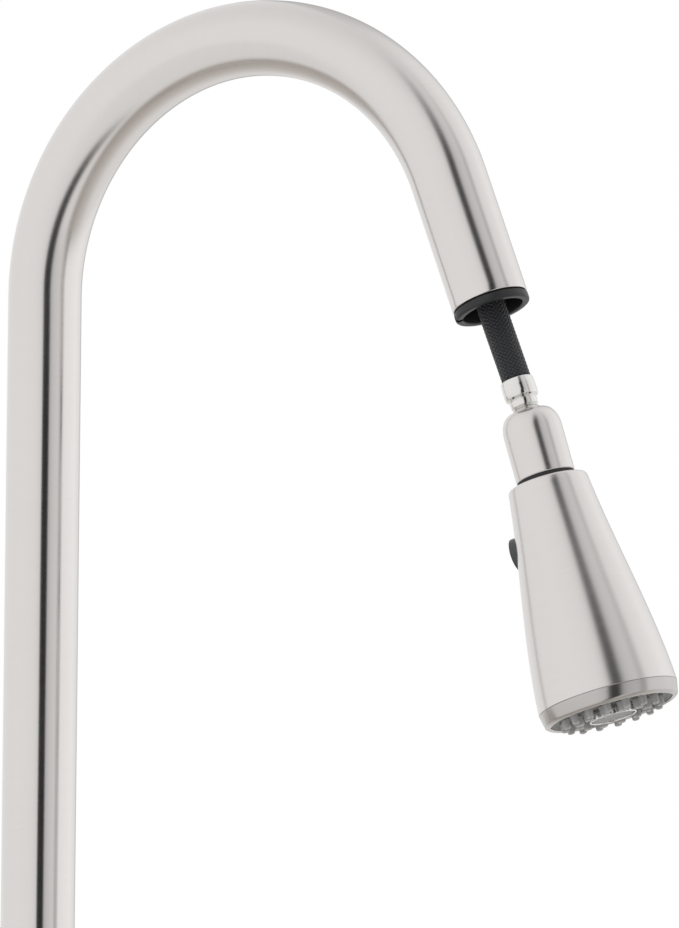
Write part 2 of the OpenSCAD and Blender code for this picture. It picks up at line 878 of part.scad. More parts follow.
base_gasket();
base_ring();
valve_body();
shank();
rubber_washer();
steel_washer();
mounting_nut();
clamp_screws();
hot_inlet_tube();
cold_inlet_tube();
outlet_tube();
inlet_fittings();
quick_coupling();
hose_tail_fitting();
cartridge_body();
cartridge_seal();
fixed_disc();
bonnet_nut();
bonnet_dome();
upper_glide_ring();
lower_glide_ring();
spout_screw();
hose_loop();
stem_carrier();
lift_pin();
moving_disc();
disc_driver();
lever_stem();
handle_hub();
handle_lever();
handle_screw();
spout_tube();
spout_foot();
spout_trim_ring();
dock_collar();
dock_magnet();
hose_upper();
hose_ferrule();
hose_ball();
ball_seat();
wand_neck();
docking_insert();
inlet_screen();
check_valve();
seam_ring();
wand_shell();
diverter_housing();
spray_tube();
spray_chamber();
bezel_ring();
face_plate();
nozzle_pad();
aerator_ring();
aerator_core();
spray_button();
diverter_stem();
diverter_spring();
weight_halves();
weight_screws();
hose_drop();
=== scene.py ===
"""Pull down kitchen faucet: finished shells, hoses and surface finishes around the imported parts.

Outlines and small sizes are in millimetres, and MM turns them into the scene's metres.
"""

import json
import math

import bmesh
import bpy
import numpy as np
from mathutils import Matrix, Vector

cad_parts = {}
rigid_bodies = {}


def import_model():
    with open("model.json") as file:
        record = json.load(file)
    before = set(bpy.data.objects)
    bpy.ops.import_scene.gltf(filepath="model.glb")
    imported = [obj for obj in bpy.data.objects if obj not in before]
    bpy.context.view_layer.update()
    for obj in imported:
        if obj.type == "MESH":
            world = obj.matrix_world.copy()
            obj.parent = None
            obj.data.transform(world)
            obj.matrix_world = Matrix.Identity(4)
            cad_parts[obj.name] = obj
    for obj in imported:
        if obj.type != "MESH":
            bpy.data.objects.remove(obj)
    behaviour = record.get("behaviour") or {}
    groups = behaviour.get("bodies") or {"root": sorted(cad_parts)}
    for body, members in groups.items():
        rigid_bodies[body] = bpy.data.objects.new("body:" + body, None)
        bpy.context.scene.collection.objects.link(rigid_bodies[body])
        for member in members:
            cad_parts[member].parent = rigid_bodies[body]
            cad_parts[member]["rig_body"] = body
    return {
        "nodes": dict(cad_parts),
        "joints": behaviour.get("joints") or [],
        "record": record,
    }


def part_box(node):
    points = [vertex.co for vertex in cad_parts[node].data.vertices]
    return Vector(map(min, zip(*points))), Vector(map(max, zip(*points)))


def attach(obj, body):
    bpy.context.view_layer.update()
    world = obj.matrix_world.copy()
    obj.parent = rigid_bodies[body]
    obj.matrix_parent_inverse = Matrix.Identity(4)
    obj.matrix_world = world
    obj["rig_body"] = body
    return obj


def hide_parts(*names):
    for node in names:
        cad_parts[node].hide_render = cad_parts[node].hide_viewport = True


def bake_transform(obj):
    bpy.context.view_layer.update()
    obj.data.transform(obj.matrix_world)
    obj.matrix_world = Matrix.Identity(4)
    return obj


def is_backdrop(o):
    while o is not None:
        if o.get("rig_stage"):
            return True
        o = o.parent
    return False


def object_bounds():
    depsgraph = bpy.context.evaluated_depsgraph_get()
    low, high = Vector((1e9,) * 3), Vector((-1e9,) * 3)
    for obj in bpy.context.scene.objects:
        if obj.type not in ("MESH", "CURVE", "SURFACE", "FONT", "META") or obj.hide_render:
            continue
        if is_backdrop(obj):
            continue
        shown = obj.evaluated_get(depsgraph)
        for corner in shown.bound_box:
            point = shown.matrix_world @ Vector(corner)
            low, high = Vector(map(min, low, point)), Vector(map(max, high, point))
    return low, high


bl_info = {
    "name": "Pull Down Kitchen Faucet",
    "version": (1, 0, 0),
    "blender": (4, 5, 0),
    "location": "View3D > Sidebar > Faucet",
    "description": "Builds the finished pieces of a pull down kitchen faucet around its packed parts",
    "category": "Object",
}

MM = 0.001
TURN = 2 * math.pi
# sides of a turned piece: large, small, and the wand's shell and bezel
FINE_SIDES = 160
SMALL_SIDES = 96
SHELL_SIDES = 224
BEZEL_SIDES = 200

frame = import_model()
CAD_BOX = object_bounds()
JOINTS = {joint["name"]: joint for joint in frame["joints"]}
SLOT_OF_NODE = {part["node"]: part["material_slot"] for part in frame["record"]["subparts"]}


# ---- places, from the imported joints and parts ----

def joint_axis(name):
    """Direction of a joint's axis."""
    return Vector(JOINTS[name]["axis"]).normalized()


def joint_point(name):
    """Point on a joint's axis."""
    return Vector(JOINTS[name]["pos_m"])


def place_of(origin, x_axis, z_axis):
    """Matrix of a local frame with that origin, X axis and Z axis."""
    y_axis = z_axis.cross(x_axis)
    return Matrix.Translation(origin) @ Matrix((x_axis, y_axis, z_axis)).transposed().to_4x4()


def in_place(node, place):
    """A CAD node's vertices in a place's local frame, in millimetres."""
    points = np.array([v.co for v in frame["nodes"][node].data.vertices])
    turned = points @ np.array(place.inverted().to_3x3()).T + np.array(place.inverted().translation)
    return turned / MM


def reach_of(node, place):
    """(lowest station, highest station, largest radius) of a CAD node about a place's Z axis, in mm."""
    points = in_place(node, place)
    return points[:, 2].min(), points[:, 2].max(), np.hypot(points[:, 0], points[:, 1]).max()


# how far the mouth's liner stands out of the tube, in mm
COLLAR_LIP = 3.5

UPRIGHT = Matrix.Identity(4)
BALL = joint_point("wand_tilt")
MOUTH_AXIS = joint_axis("wand_pull")
MOUTH_SIDE = Vector((0, 1, 0)).cross(MOUTH_AXIS)
HOSE_END = place_of(BALL, MOUTH_SIDE, MOUTH_AXIS)
MOUTH_STATION = reach_of("dock_collar", HOSE_END)[1] - COLLAR_LIP
MOUTH_POINT = HOSE_END @ Vector((0, 0, MOUTH_STATION * MM))
MOUTH = place_of(MOUTH_POINT, MOUTH_SIDE, MOUTH_AXIS)
WAND = place_of(BALL, -joint_axis("button_press"), joint_axis("wand_spin"))
LEVER_AXIS_POINT = Vector((0, 0, joint_point("handle_lift").z))
LEVER = place_of(LEVER_AXIS_POINT, joint_axis("disc_slide"), Vector((0, 1, 0)))
PIVOT_Y = joint_point("handle_lift").y / MM


# ---- sizes and colours a user would change ----

def colour(name, description, default):
    """A colour property."""
    return bpy.props.FloatVectorProperty(
        name=name, description=description, subtype="COLOR", size=3, min=0, max=1, default=default
    )


def distance(name, description, default):
    """A size property in metres."""
    return bpy.props.FloatProperty(
        name=name, description=description, subtype="DISTANCE", unit="LENGTH", min=0, default=default
    )


class FaucetFinishes(bpy.types.PropertyGroup):
    """Colours and gloss of the finishes."""

    nickel: colour("Nickel", "Colour of the brushed nickel", (0.75, 0.724, 0.709))
    nickel_roughness: bpy.props.FloatProperty(
        name="Nickel roughness", description="How soft the nickel's reflections are",
        subtype="FACTOR", min=0, max=1, default=0.2,
    )
    steel: colour("Steel", "Colour of the polished steel", (0.80, 0.79, 0.77))
    brass: colour("Brass", "Colour of the brass parts", (0.72, 0.52, 0.25))
    copper: colour("Copper", "Colour of the inlet tubes", (0.75, 0.42, 0.28))
    braid: colour("Braid", "Colour of the hose's nylon braid", (0.016, 0.017, 0.020))
    rubber: colour("Rubber", "Colour of gaskets and washers", (0.028, 0.028, 0.030))
    liner: colour("Mouth liner", "Colour of the liner in the spout's mouth", (0.013, 0.014, 0.016))
    silicone: colour("Silicone", "Colour of the spray nozzles", (0.40, 0.395, 0.39))
    spray_plate: colour("Spray plate", "Colour of the plate around the nozzles", (0.075, 0.073, 0.071))
    button: colour("Button", "Colour of the spray button", (0.05, 0.052, 0.055))


class FaucetSizes(bpy.types.PropertyGroup):
    """Sizes that the finished pieces are built from."""

    arch_radius: distance("Arch radius", "Bend radius of the gooseneck's centreline", 0.0915)
    tube_wall: distance("Tube wall", "Wall of the gooseneck tube", 0.0015)
    hose_diameter: distance("Hose diameter", "Outside diameter of the braided hose", 0.0108)
    braid_pitch: distance("Braid pitch", "Length of hose in one turn of a strand", 0.030)
    braid_bands: bpy.props.IntProperty(
        name="Braid bands", description="Bands of the braid that turn each way", min=4, max=24, default=20
    )
    outer_nozzles: bpy.props.IntProperty(
        name="Outer nozzles", description="Nozzles in the outer ring", min=6, max=24, default=16
    )
    inner_nozzles: bpy.props.IntProperty(
        name="Inner nozzles", description="Nozzles in the inner ring", min=4, max=18, default=12
    )
    thread_pitch: distance("Thread pitch", "Pitch of the shank's thread", 0.002)


class FaucetStudio(bpy.types.PropertyGroup):
    """The plain studio round the faucet."""

    floor: colour("Floor", "Colour of the floor", (0.86, 0.86, 0.855))
    overhead: bpy.props.FloatProperty(
        name="Overhead lamp", description="Power of the soft lamp above", subtype="POWER", min=0, default=14
    )


# ---- mesh building ----

def link(name, data):
    """A new object of that mesh, curve, lamp or camera in the scene."""
    made = bpy.data.objects.new(name, data)
    bpy.context.scene.collection.objects.link(made)
    return made


def rounded(corners, steps=5):
    """Closed outline of (radius, station, rounding) corners, each turned into an arc of its rounding."""
    outline = []
    for i, (across, station, rounding) in enumerate(corners):
        here = np.array((across, station), float)
        if rounding <= 0:
            outline.append(here)
            continue
        before = np.array(corners[i - 1][:2], float) - here
        after = np.array(corners[(i + 1) % len(corners)][:2], float) - here
        before /= np.linalg.norm(before)
        after /= np.linalg.norm(after)
        half = 0.5 * math.acos(float(np.clip(before @ after, -1, 1)))
        middle = before + after
        centre = here + middle / np.linalg.norm(middle) * rounding / math.sin(half)
        first = here + before * rounding / math.tan(half) - centre
        last = here + after * rounding / math.tan(half) - centre
        turn = math.atan2(first[0] * last[1] - first[1] * last[0], float(first @ last))
        for k in range(steps + 1):
            c, s = math.cos(turn * k / steps), math.sin(turn * k / steps)
            outline.append(centre + np.array((c * first[0] - s * first[1], s * first[0] + c * first[1])))
    return np.array(outline)


def skin(name, rings, stations, closed=True, sharp=38):
    """Mesh over rings of points (metres). stations is the distance along the surface at each ring.

    The brushing attribute holds the straightened surface, (radius x cos, radius x sin, station), which
    grain follows. UVs run round the ring and along the stations.
    """
    rings = np.array(rings, float)
    count, sides = rings.shape[:2]
    corner = lambda i, k: (i % count) * sides + k % sides
    spans = count if closed else count - 1
    faces = [
        (corner(i, k), corner(i, k + 1), corner(i + 1, k + 1), corner(i + 1, k))
        for i in range(spans) for k in range(sides)
    ]
    if not closed:
        faces += [tuple(range(sides))[::-1], tuple(corner(count - 1, k) for k in range(sides))]
    mesh = bpy.data.meshes.new(name)
    mesh.from_pydata(rings.reshape(-1, 3).tolist(), [], faces)
    centres = rings.mean(axis=1, keepdims=True)
    radius = np.linalg.norm(rings - centres, axis=2)
    angle = TURN * np.arange(sides) / sides
    along = np.repeat(np.array(stations)[:, None], sides, 1)
    straight = np.stack([radius * np.cos(angle), radius * np.sin(angle), along], axis=2)
    mesh.attributes.new("brushing", "FLOAT_VECTOR", "POINT").data.foreach_set("vector", straight.ravel())
    layer = mesh.uv_layers.new(name="surface")
    uv = []
    for i in range(spans):
        low, high = stations[i], stations[i + 1] if i + 1 < count else stations[i] + 1e-3
        for k in range(sides):
            uv += [(k / sides, low), ((k + 1) / sides, low), ((k + 1) / sides, high), (k / sides, high)]
    uv += [(0, 0)] * (len(mesh.loops) - len(uv))
    layer.data.foreach_set("uv", np.array(uv).ravel())
    clean = bmesh.new()
    clean.from_mesh(mesh)
    bmesh.ops.remove_doubles(clean, verts=clean.verts, dist=1e-7)
    bmesh.ops.dissolve_degenerate(clean, edges=clean.edges, dist=1e-8)
    bmesh.ops.recalc_face_normals(clean, faces=clean.faces)
    clean.to_mesh(mesh)
    clean.free()
    mesh.shade_smooth()
    mesh.set_sharp_from_angle(angle=math.radians(sharp))
    return mesh


def lathe(name, outline, place=UPRIGHT, sides=FINE_SIDES, sharp=38):
    """Mesh of a closed (radius, station) outline in mm, turned round a place's Z axis."""
    outline = np.array(outline, float) * MM
    angle = TURN * (np.arange(sides) + 0.5) / sides
    rings = np.stack(
        [
            outline[:, :1] * np.cos(angle),
            outline[:, :1] * np.sin(angle),
            np.repeat(outline[:, 1:], sides, axis=1),
        ],
        axis=2,
    )
    steps = np.linalg.norm(np.diff(outline, axis=0), axis=1)
    mesh = skin(name, rings, np.concatenate([[0], np.cumsum(steps)]), sharp=sharp)
    mesh.transform(place)
    return mesh


def turned_piece(name, corners, place=UPRIGHT, **looks):
    """An object turned round a place's Z axis from (radius, station, rounding) corners in mm."""
    return link(name, lathe(name, rounded(corners), place, **looks))


def along_path(points):
    """Distance from the path's start to each of its points."""
    return np.concatenate([[0], np.cumsum(np.linalg.norm(np.diff(points, axis=0), axis=1))])


def path_frames(points):
    """Tangent and two cross directions at each point of a path near the XZ plane."""
    tangent = np.gradient(points, axis=0)
    tangent /= np.linalg.norm(tangent, axis=1, keepdims=True)
    side = np.cross(tangent, (0, 1, 0))
    side /= np.linalg.norm(side, axis=1, keepdims=True)
    return tangent, side, np.cross(side, tangent)


def ring_round(centre, side, other, radius, sides):
    """Points of a circle about a centre."""
    angle = TURN * np.arange(sides)[:, None] / sides
    return centre + radius * (np.cos(angle) * side + np.sin(angle) * other)


def as_mesh(made):
    """Turns an object's modifiers into its plain mesh and removes them."""
    bpy.context.view_layer.update()
    graph = bpy.context.evaluated_depsgraph_get()
    mesh = bpy.data.meshes.new_from_object(made.evaluated_get(graph))
    mesh.name = made.name
    if made.type == "MESH":
        made.modifiers.clear()
        made.data = mesh
        return made
    name = made.name
    bpy.data.objects.remove(made)
    return link(name, mesh)


def cut_away(made, cutter):
    """Cuts a closed mesh out of an object."""
    tool = link("cutter", cutter)
    cutting = made.modifiers.new("Cut", "BOOLEAN")
    cutting.operation = "DIFFERENCE"
    cutting.solver = "EXACT"
    cutting.object = tool
    as_mesh(made)
    bpy.data.objects.remove(tool)
    made.data.shade_smooth()
    made.data.set_sharp_from_angle(angle=math.radians(38))
    return made


def join_meshes(name, meshes):
    """One mesh of several."""
    joined = bmesh.new()
    for mesh in meshes:
        joined.from_mesh(mesh)
    result = bpy.data.meshes.new(name)
    joined.to_mesh(result)
    joined.free()
    return result


def finished(made, material, *nodes):
    """Gives a piece its material and lets it ride on and stand for its CAD nodes."""
    made.data.materials.clear()
    made.data.materials.append(material)
    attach(made, frame["nodes"][nodes[0]]["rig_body"])
    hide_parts(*nodes)
    return made


# ---- node trees ----

class Tree:
    """Places nodes in a tree and joins them."""

    def __init__(self, tree):
        self.tree = tree
        tree.nodes.clear()

    def add(self, kind, inputs=None, **settings):
        """A new node with its settings, and its inputs set to values or joined to sockets."""
        node = self.tree.nodes.new(kind)
        for key, value in settings.items():
            setattr(node, key, value)
        for key, value in (inputs or {}).items():
            self.feed(node.inputs[key], value)
        return node

    def feed(self, socket, value):
        """Joins a socket to another, or sets its value."""
        if isinstance(value, bpy.types.NodeSocket):
            self.tree.links.new(value, socket)
        else:
            socket.default_value = value

    def math(self, operation, *values, kind="ShaderNodeMath", output=0):
        """A math node's result."""
        node = self.tree.nodes.new(kind)
        node.operation = operation
        for socket, value in zip(node.inputs, values):
            self.feed(socket, value)
        return node.outputs[output]

    def vector(self, operation, *values):
        """A vector math node's result."""
        scalar = operation in ("DOT_PRODUCT", "LENGTH", "DISTANCE")
        return self.math(operation, *values, kind="ShaderNodeVectorMath", output=1 if scalar else 0)

    def total(self, *values):
        """Sum of several values."""
        result = values[0]
        for value in values[1:]:
            result = self.math("ADD", result, value)
        return result

    def spread(self, value, start, end, low, high, smooth=False):
        """A value mapped from start..end to low..high, held at both ends."""
        kind = "SMOOTHSTEP" if smooth else "LINEAR"
        node = self.add(
            "ShaderNodeMapRange",
            {"Value": value, "From Min": start, "From Max": end, "To Min": low, "To Max": high},
            interpolation_type=kind,
        )
        return node.outputs["Result"]

    def ramp(self, share, stops):
        """Colour at a 0 to 1 share along (position, colour) stops."""
        node = self.add("ShaderNodeValToRGB", {"Fac": share})
        marks = node.color_ramp.elements
        while len(marks) > 1:
            marks.remove(marks[-1])
        for i, (position, tone) in enumerate(stops):
            mark = marks[0] if i == 0 else marks.new(position)
            mark.position = position
            mark.color = (*tone, 1)
        return node.outputs["Color"]

    def mixed(self, factor, first, second):
        """Colour between two colours, each a value or a socket."""
        node = self.add("ShaderNodeMix", data_type="RGBA", blend_type="MIX")
        self.feed(node.inputs["Factor"], factor)
        self.feed(node.inputs["A"], first)
        self.feed(node.inputs["B"], second)
        return node.outputs["Result"]

    def scaled(self, value, factor):
        """A vector made longer or shorter by a factor."""
        node = self.add("ShaderNodeVectorMath", {0: value, "Scale": factor}, operation="SCALE")
        return node.outputs[0]

    def store(self, geometry, name, kind, value):
        """Geometry with a value kept on its points under a name."""
        node = self.add("GeometryNodeStoreNamedAttribute", data_type=kind, domain="POINT")
        for key, given in (("Geometry", geometry), ("Name", name), ("Value", value)):
            self.feed(node.inputs[key], given)
        return node.outputs[0]

    def stored(self, name, kind):
        """The value that points keep under a name."""
        return self.add("GeometryNodeInputNamedAttribute", {"Name": name}, data_type=kind).outputs[0]

    def give(self, result, geometry, material):
        """Ends a Geometry Nodes tree: makes its instances real and gives them their material."""
        real = self.add("GeometryNodeRealizeInstances", {"Geometry": geometry})
        painted = self.add("GeometryNodeSetMaterial", {"Geometry": real.outputs[0], "Material": material})
        self.feed(result["Geometry"], painted.outputs[0])


def node_group(name, kind, inputs, outputs):
    """An empty node group with named sockets: (Tree, its inputs, its output node)."""
    tree = bpy.data.node_groups.new(name, kind)
    for socket_name, socket_kind, default in inputs:
        socket = tree.interface.new_socket(socket_name, in_out="INPUT", socket_type=socket_kind)
        if default is not None:
            socket.default_value = default
    for socket_name, socket_kind in outputs:
        tree.interface.new_socket(socket_name, in_out="OUTPUT", socket_type=socket_kind)
    made = Tree(tree)
    given = made.add("NodeGroupInput").outputs
    result = made.add("NodeGroupOutput").inputs
    return made, given, result


def grain_group():
    """Fine brushing lines and faint handling marks on metal."""
    tree, given, result = node_group(
        "Brushed Grain",
        "ShaderNodeTree",
        [
            ("Vector", "NodeSocketVector", None),
            ("Lines", "NodeSocketFloat", 2600.0),
            ("Streak", "NodeSocketFloat", 90.0),
            ("Marks", "NodeSocketFloat", 26.0),
        ],
        [("Grain", "NodeSocketFloat"), ("Marks", "NodeSocketFloat")],
    )
    stretch = tree.add(
        "ShaderNodeCombineXYZ", {"X": given["Streak"], "Y": given["Streak"], "Z": given["Lines"]}
    )
    stretched = tree.vector("MULTIPLY", given["Vector"], stretch.outputs[0])
    lines = tree.add("ShaderNodeTexNoise", {"Vector": stretched, "Scale": 1.0, "Detail": 3.0})
    marks = tree.add(
        "ShaderNodeTexNoise",
        {"Vector": given["Vector"], "Scale": given["Marks"], "Detail": 4.0, "Roughness": 0.6},
    )
    tree.feed(result["Grain"], lines.outputs["Fac"])
    tree.feed(result["Marks"], marks.outputs["Fac"])
    return tree.tree


def mottle_group():
    """Fine texture and slow colour drift of moulded, cast and rubber surfaces."""
    tree, given, result = node_group(
        "Surface Mottle",
        "ShaderNodeTree",
        [
            ("Vector", "NodeSocketVector", None),
            ("Texture", "NodeSocketFloat", 2500.0),
            ("Drift", "NodeSocketFloat", 60.0),
        ],
        [("Texture", "NodeSocketFloat"), ("Drift", "NodeSocketFloat")],
    )
    where = given["Vector"]
    fine = tree.add("ShaderNodeTexNoise", {"Vector": where, "Scale": given["Texture"], "Detail": 2.0})
    slow = tree.add("ShaderNodeTexNoise", {"Vector": where, "Scale": given["Drift"], "Detail": 5.0})
    tree.feed(result["Texture"], fine.outputs["Fac"])
    tree.feed(result["Drift"], slow.outputs["Fac"])
    return tree.tree


THREADS_IN_BAND = 5


def weave_group():
    """Herringbone braid: each band passes over two and under two of the bands that cross it."""
    tree, given, result = node_group(
        "Braid Weave",
        "ShaderNodeTree",
        [
            ("Vector", "NodeSocketVector", None),
            ("Bands", "NodeSocketFloat", 12.0),
            ("Pitch", "NodeSocketFloat", 0.03),
        ],
        [("Height", "NodeSocketFloat"), ("Threads", "NodeSocketFloat")],
    )
    parts = tree.add("ShaderNodeSeparateXYZ", {"Vector": given["Vector"]}).outputs
    around = tree.math("DIVIDE", tree.math("ARCTAN2", parts["Y"], parts["X"]), TURN)
    along = tree.math("DIVIDE", parts["Z"], given["Pitch"])
    heights, threads = [], []
    indexes, offsets = [], []
    for way in ("SUBTRACT", "ADD"):
        index = tree.math("MULTIPLY", tree.math(way, around, along), given["Bands"])
        whole = tree.math("ROUND", index)
        indexes.append(whole)
        offsets.append(tree.math("SUBTRACT", index, whole))
    both = tree.math("ADD", *indexes)
    over = tree.math("SINE", tree.math("MULTIPLY_ADD", both, TURN / 4, TURN / 8))
    for offset, sign in zip(offsets, (1.0, -1.0)):
        crown = tree.math("SUBTRACT", 1.0, tree.math("POWER", tree.math("MULTIPLY", offset, 2.0), 2.0))
        lift = tree.math("MULTIPLY_ADD", over, 0.5 * sign, 0.5)
        heights.append(tree.math("MULTIPLY", crown, lift))
        thread = tree.math("SINE", tree.math("MULTIPLY", offset, TURN * THREADS_IN_BAND))
        threads.append(tree.math("MULTIPLY", thread, lift))
    tree.feed(result["Height"], tree.math("MAXIMUM", *heights))
    tree.feed(result["Threads"], tree.math("ADD", *threads))
    return tree.tree


GROUPS = {}
FINISHES = {}
# heights between which the spout's nickel grows softer, in metres
SPOUT_SOFTENS = (0.30, 0.40)


def new_material(name):
    """An empty material and its tree."""
    made = bpy.data.materials.new(name)
    made.use_nodes = True
    return made, Tree(made.node_tree)


def put_out(tree, shader):
    """Joins a shader to the material's output."""
    tree.add("ShaderNodeOutputMaterial", {"Surface": shader.outputs[0]})


def shade(tree, factor, dark, light):
    """Colour between two colours by a 0 to 1 value."""
    return tree.mixed(factor, (*dark, 1), (*light, 1))


def dimmed(tone, share):
    """A colour made darker or lighter by a share."""
    return tuple(min(1.0, c * share) for c in tone)


def brushed_metal(name, tone, roughness, on_surface=True, lines=2600.0, contrast=0.10, soft=0.0):
    """Brushed metal whose grain runs round the piece. soft is extra roughness high on the spout."""
    made, tree = new_material(name)
    if on_surface:
        where = tree.add("ShaderNodeAttribute", attribute_name="brushing").outputs["Vector"]
    else:
        where = tree.add("ShaderNodeTexCoord").outputs["Object"]
    grain = tree.add("ShaderNodeGroup", node_tree=GROUPS["grain"])
    tree.feed(grain.inputs["Vector"], where)
    grain.inputs["Lines"].default_value = lines
    marks = grain.outputs["Marks"]
    mixed = tree.math("MULTIPLY_ADD", grain.outputs["Grain"], 0.7, tree.math("MULTIPLY", marks, 0.3))
    rough = tree.total(
        roughness - 0.06,
        tree.math("MULTIPLY", grain.outputs["Grain"], 0.07),
        tree.math("MULTIPLY", marks, 0.05),
    )
    if soft:
        at = tree.add("ShaderNodeTexCoord").outputs["Object"]
        height = tree.add("ShaderNodeSeparateXYZ", {"Vector": at})
        low, high = SPOUT_SOFTENS
        extra = tree.spread(height.outputs["Z"], low, high, 0.0, soft, smooth=True)
        rough = tree.math("ADD", rough, extra)
    bump = tree.add(
        "ShaderNodeBump", {"Strength": 0.12, "Distance": 0.02 * MM, "Height": grain.outputs["Grain"]}
    )
    dark, light = dimmed(tone, 1 - contrast / 2), dimmed(tone, 1 + contrast / 2)
    shader = tree.add(
        "ShaderNodeBsdfPrincipled",
        {
            "Base Color": shade(tree, mixed, dark, light),
            "Roughness": rough,
            "Normal": bump.outputs["Normal"],
            "Metallic": 1.0,
        },
    )
    if on_surface:
        tangent = tree.add("ShaderNodeTangent", direction_type="UV_MAP", uv_map="surface")
        tree.feed(shader.inputs["Tangent"], tangent.outputs[0])
        shader.inputs["Anisotropic"].default_value = 0.5
        shader.inputs["Anisotropic Rotation"].default_value = 0.25
    put_out(tree, shader)
    return made


def moulded(
    name, tone, roughness, texture=2500.0, bumps=0.25, variation=0.12, coat=0.0, clear=0.0, metal=0.0
):
    """Plastic, rubber, ceramic or cast surface with fine texture and slow colour drift."""
    made, tree = new_material(name)
    where = tree.add("ShaderNodeTexCoord").outputs["Object"]
    mottle = tree.add("ShaderNodeGroup", node_tree=GROUPS["mottle"])
    tree.feed(mottle.inputs["Vector"], where)
    mottle.inputs["Texture"].default_value = texture
    fine, drift = mottle.outputs["Texture"], mottle.outputs["Drift"]
    bump = tree.add("ShaderNodeBump", {"Strength": bumps, "Distance": 0.05 * MM, "Height": fine})
    rough = tree.math("MULTIPLY_ADD", fine, 0.12, tree.math("MULTIPLY_ADD", drift, 0.1, roughness - 0.1))
    shader = tree.add(
        "ShaderNodeBsdfPrincipled",
        {
            "Base Color": shade(tree, drift, dimmed(tone, 1 - variation), dimmed(tone, 1 + variation)),
            "Roughness": rough,
            "Normal": bump.outputs["Normal"],
            "Metallic": metal,
            "Coat Weight": coat,
            "Coat Roughness": 0.12,
            "Subsurface Weight": clear,
            "Subsurface Scale": 0.001,
            "Subsurface Radius": (1.0, 0.95, 0.9),
        },
    )
    put_out(tree, shader)
    return made


def braid_material(name, tone, sizes, place=None):
    """Black nylon braid. With a place, a finer weave is drawn round that place's Z axis, with painted shade
    in its hollows and a painted highlight on its crowns.
    """
    made, tree = new_material(name)
    where = tree.add("ShaderNodeTexCoord").outputs["Object"]
    fine = tree.add("ShaderNodeTexNoise", {"Vector": where, "Scale": 5200.0, "Detail": 2.0}).outputs["Fac"]
    height, lift = fine, fine
    if place is not None:
        back = place.inverted()
        local = tree.add("ShaderNodeMapping", {"Vector": where}, vector_type="POINT")
        local.inputs["Location"].default_value = back.translation
        local.inputs["Rotation"].default_value = back.to_euler()
        weave = tree.add("ShaderNodeGroup", node_tree=GROUPS["weave"])
        tree.feed(weave.inputs["Vector"], local.outputs["Vector"])
        weave.inputs["Bands"].default_value = sizes.braid_bands
        weave.inputs["Pitch"].default_value = sizes.braid_pitch
        lift = weave.outputs["Height"]
        height = tree.total(lift, tree.math("MULTIPLY", weave.outputs["Threads"], 0.10),
                            tree.math("MULTIPLY", fine, 0.15))
    depth = 0.3 * MM if place else 0.04 * MM
    bump = tree.add("ShaderNodeBump", {"Strength": 0.9, "Distance": depth, "Height": height})
    # with a place the base colour follows the weave's height: painted shade in the hollows and under the
    # crossing bands, a painted highlight on the crowns; without one it only varies at random with the fine
    # noise
    shader = tree.add(
        "ShaderNodeBsdfPrincipled",
        {
            "Base Color": shade(tree, lift, dimmed(tone, 0.5), dimmed(tone, 1.9)),
            "Roughness": tree.math("MULTIPLY_ADD", fine, 0.25, 0.3),
            "Normal": bump.outputs["Normal"],
            "Sheen Weight": 0.12,
            "Sheen Roughness": 0.4,
        },
    )
    put_out(tree, shader)
    return made


def make_finishes(settings, sizes):
    """Every material, by the record's slot name, and the extra ones that pieces use."""
    GROUPS.update(grain=grain_group(), mottle=mottle_group(), weave=weave_group())
    nickel, soft = settings.nickel, settings.nickel_roughness
    FINISHES.update(
        brushed_nickel=brushed_metal("brushed_nickel", nickel, soft, on_surface=False),
        wand_nickel=brushed_metal("wand_nickel", nickel, soft + 0.04),
        spout_nickel=brushed_metal("spout_nickel", nickel, soft - 0.04, soft=0.06),
        bezel_nickel=brushed_metal("bezel_nickel", dimmed(nickel, 0.74), soft + 0.02),
        polished_steel=brushed_metal("polished_steel", settings.steel, 0.14, lines=900.0, contrast=0.05),
        steel=brushed_metal("steel", (0.60, 0.60, 0.60), 0.34, on_surface=False, lines=900.0),
        brass=brushed_metal("brass", settings.brass, 0.30, on_surface=False, lines=1500.0, contrast=0.2),
        thread_brass=brushed_metal("thread_brass", settings.brass, 0.28, lines=300.0, contrast=0.2),
        copper=brushed_metal("copper", settings.copper, 0.28, on_surface=False, lines=400.0, contrast=0.25),
        black_rubber=moulded("black_rubber", settings.rubber, 0.72, texture=3000, bumps=0.4),
        black_braid=braid_material("black_braid", settings.braid, sizes),
        spout_braid=braid_material("spout_braid", settings.braid, sizes, MOUTH),
        grey_plastic=moulded("grey_plastic", (0.20, 0.20, 0.20), 0.48),
        dark_plastic=moulded("dark_plastic", settings.button, 0.42, texture=3500, bumps=0.15, coat=0.1),
        liner_plastic=moulded("liner_plastic", settings.liner, 0.42, texture=2200, bumps=0.2, coat=0.05),
        spray_plate=moulded("spray_plate", settings.spray_plate, 0.38, texture=2600, bumps=0.2),
        grey_silicone=moulded("grey_silicone", settings.silicone, 0.40, bumps=0.3, coat=0.25, clear=0.25),
        clear_grey_plastic=moulded("clear_grey_plastic", (0.46, 0.46, 0.45), 0.25, coat=0.3, clear=0.1),
        white_plastic=moulded("white_plastic", (0.80, 0.80, 0.78), 0.42),
        blue_plastic=moulded("blue_plastic", (0.12, 0.22, 0.45), 0.42),
        ceramic=moulded("ceramic", (0.88, 0.87, 0.84), 0.22, bumps=0.05, variation=0.03, coat=0.3),
        magnet=moulded("magnet", (0.12, 0.12, 0.12), 0.55, texture=1200, bumps=0.4, metal=0.4),
        cast_weight=moulded("cast_weight", (0.14, 0.14, 0.15), 0.5, texture=700, bumps=0.9, variation=0.2),
    )


# ---- spout ----

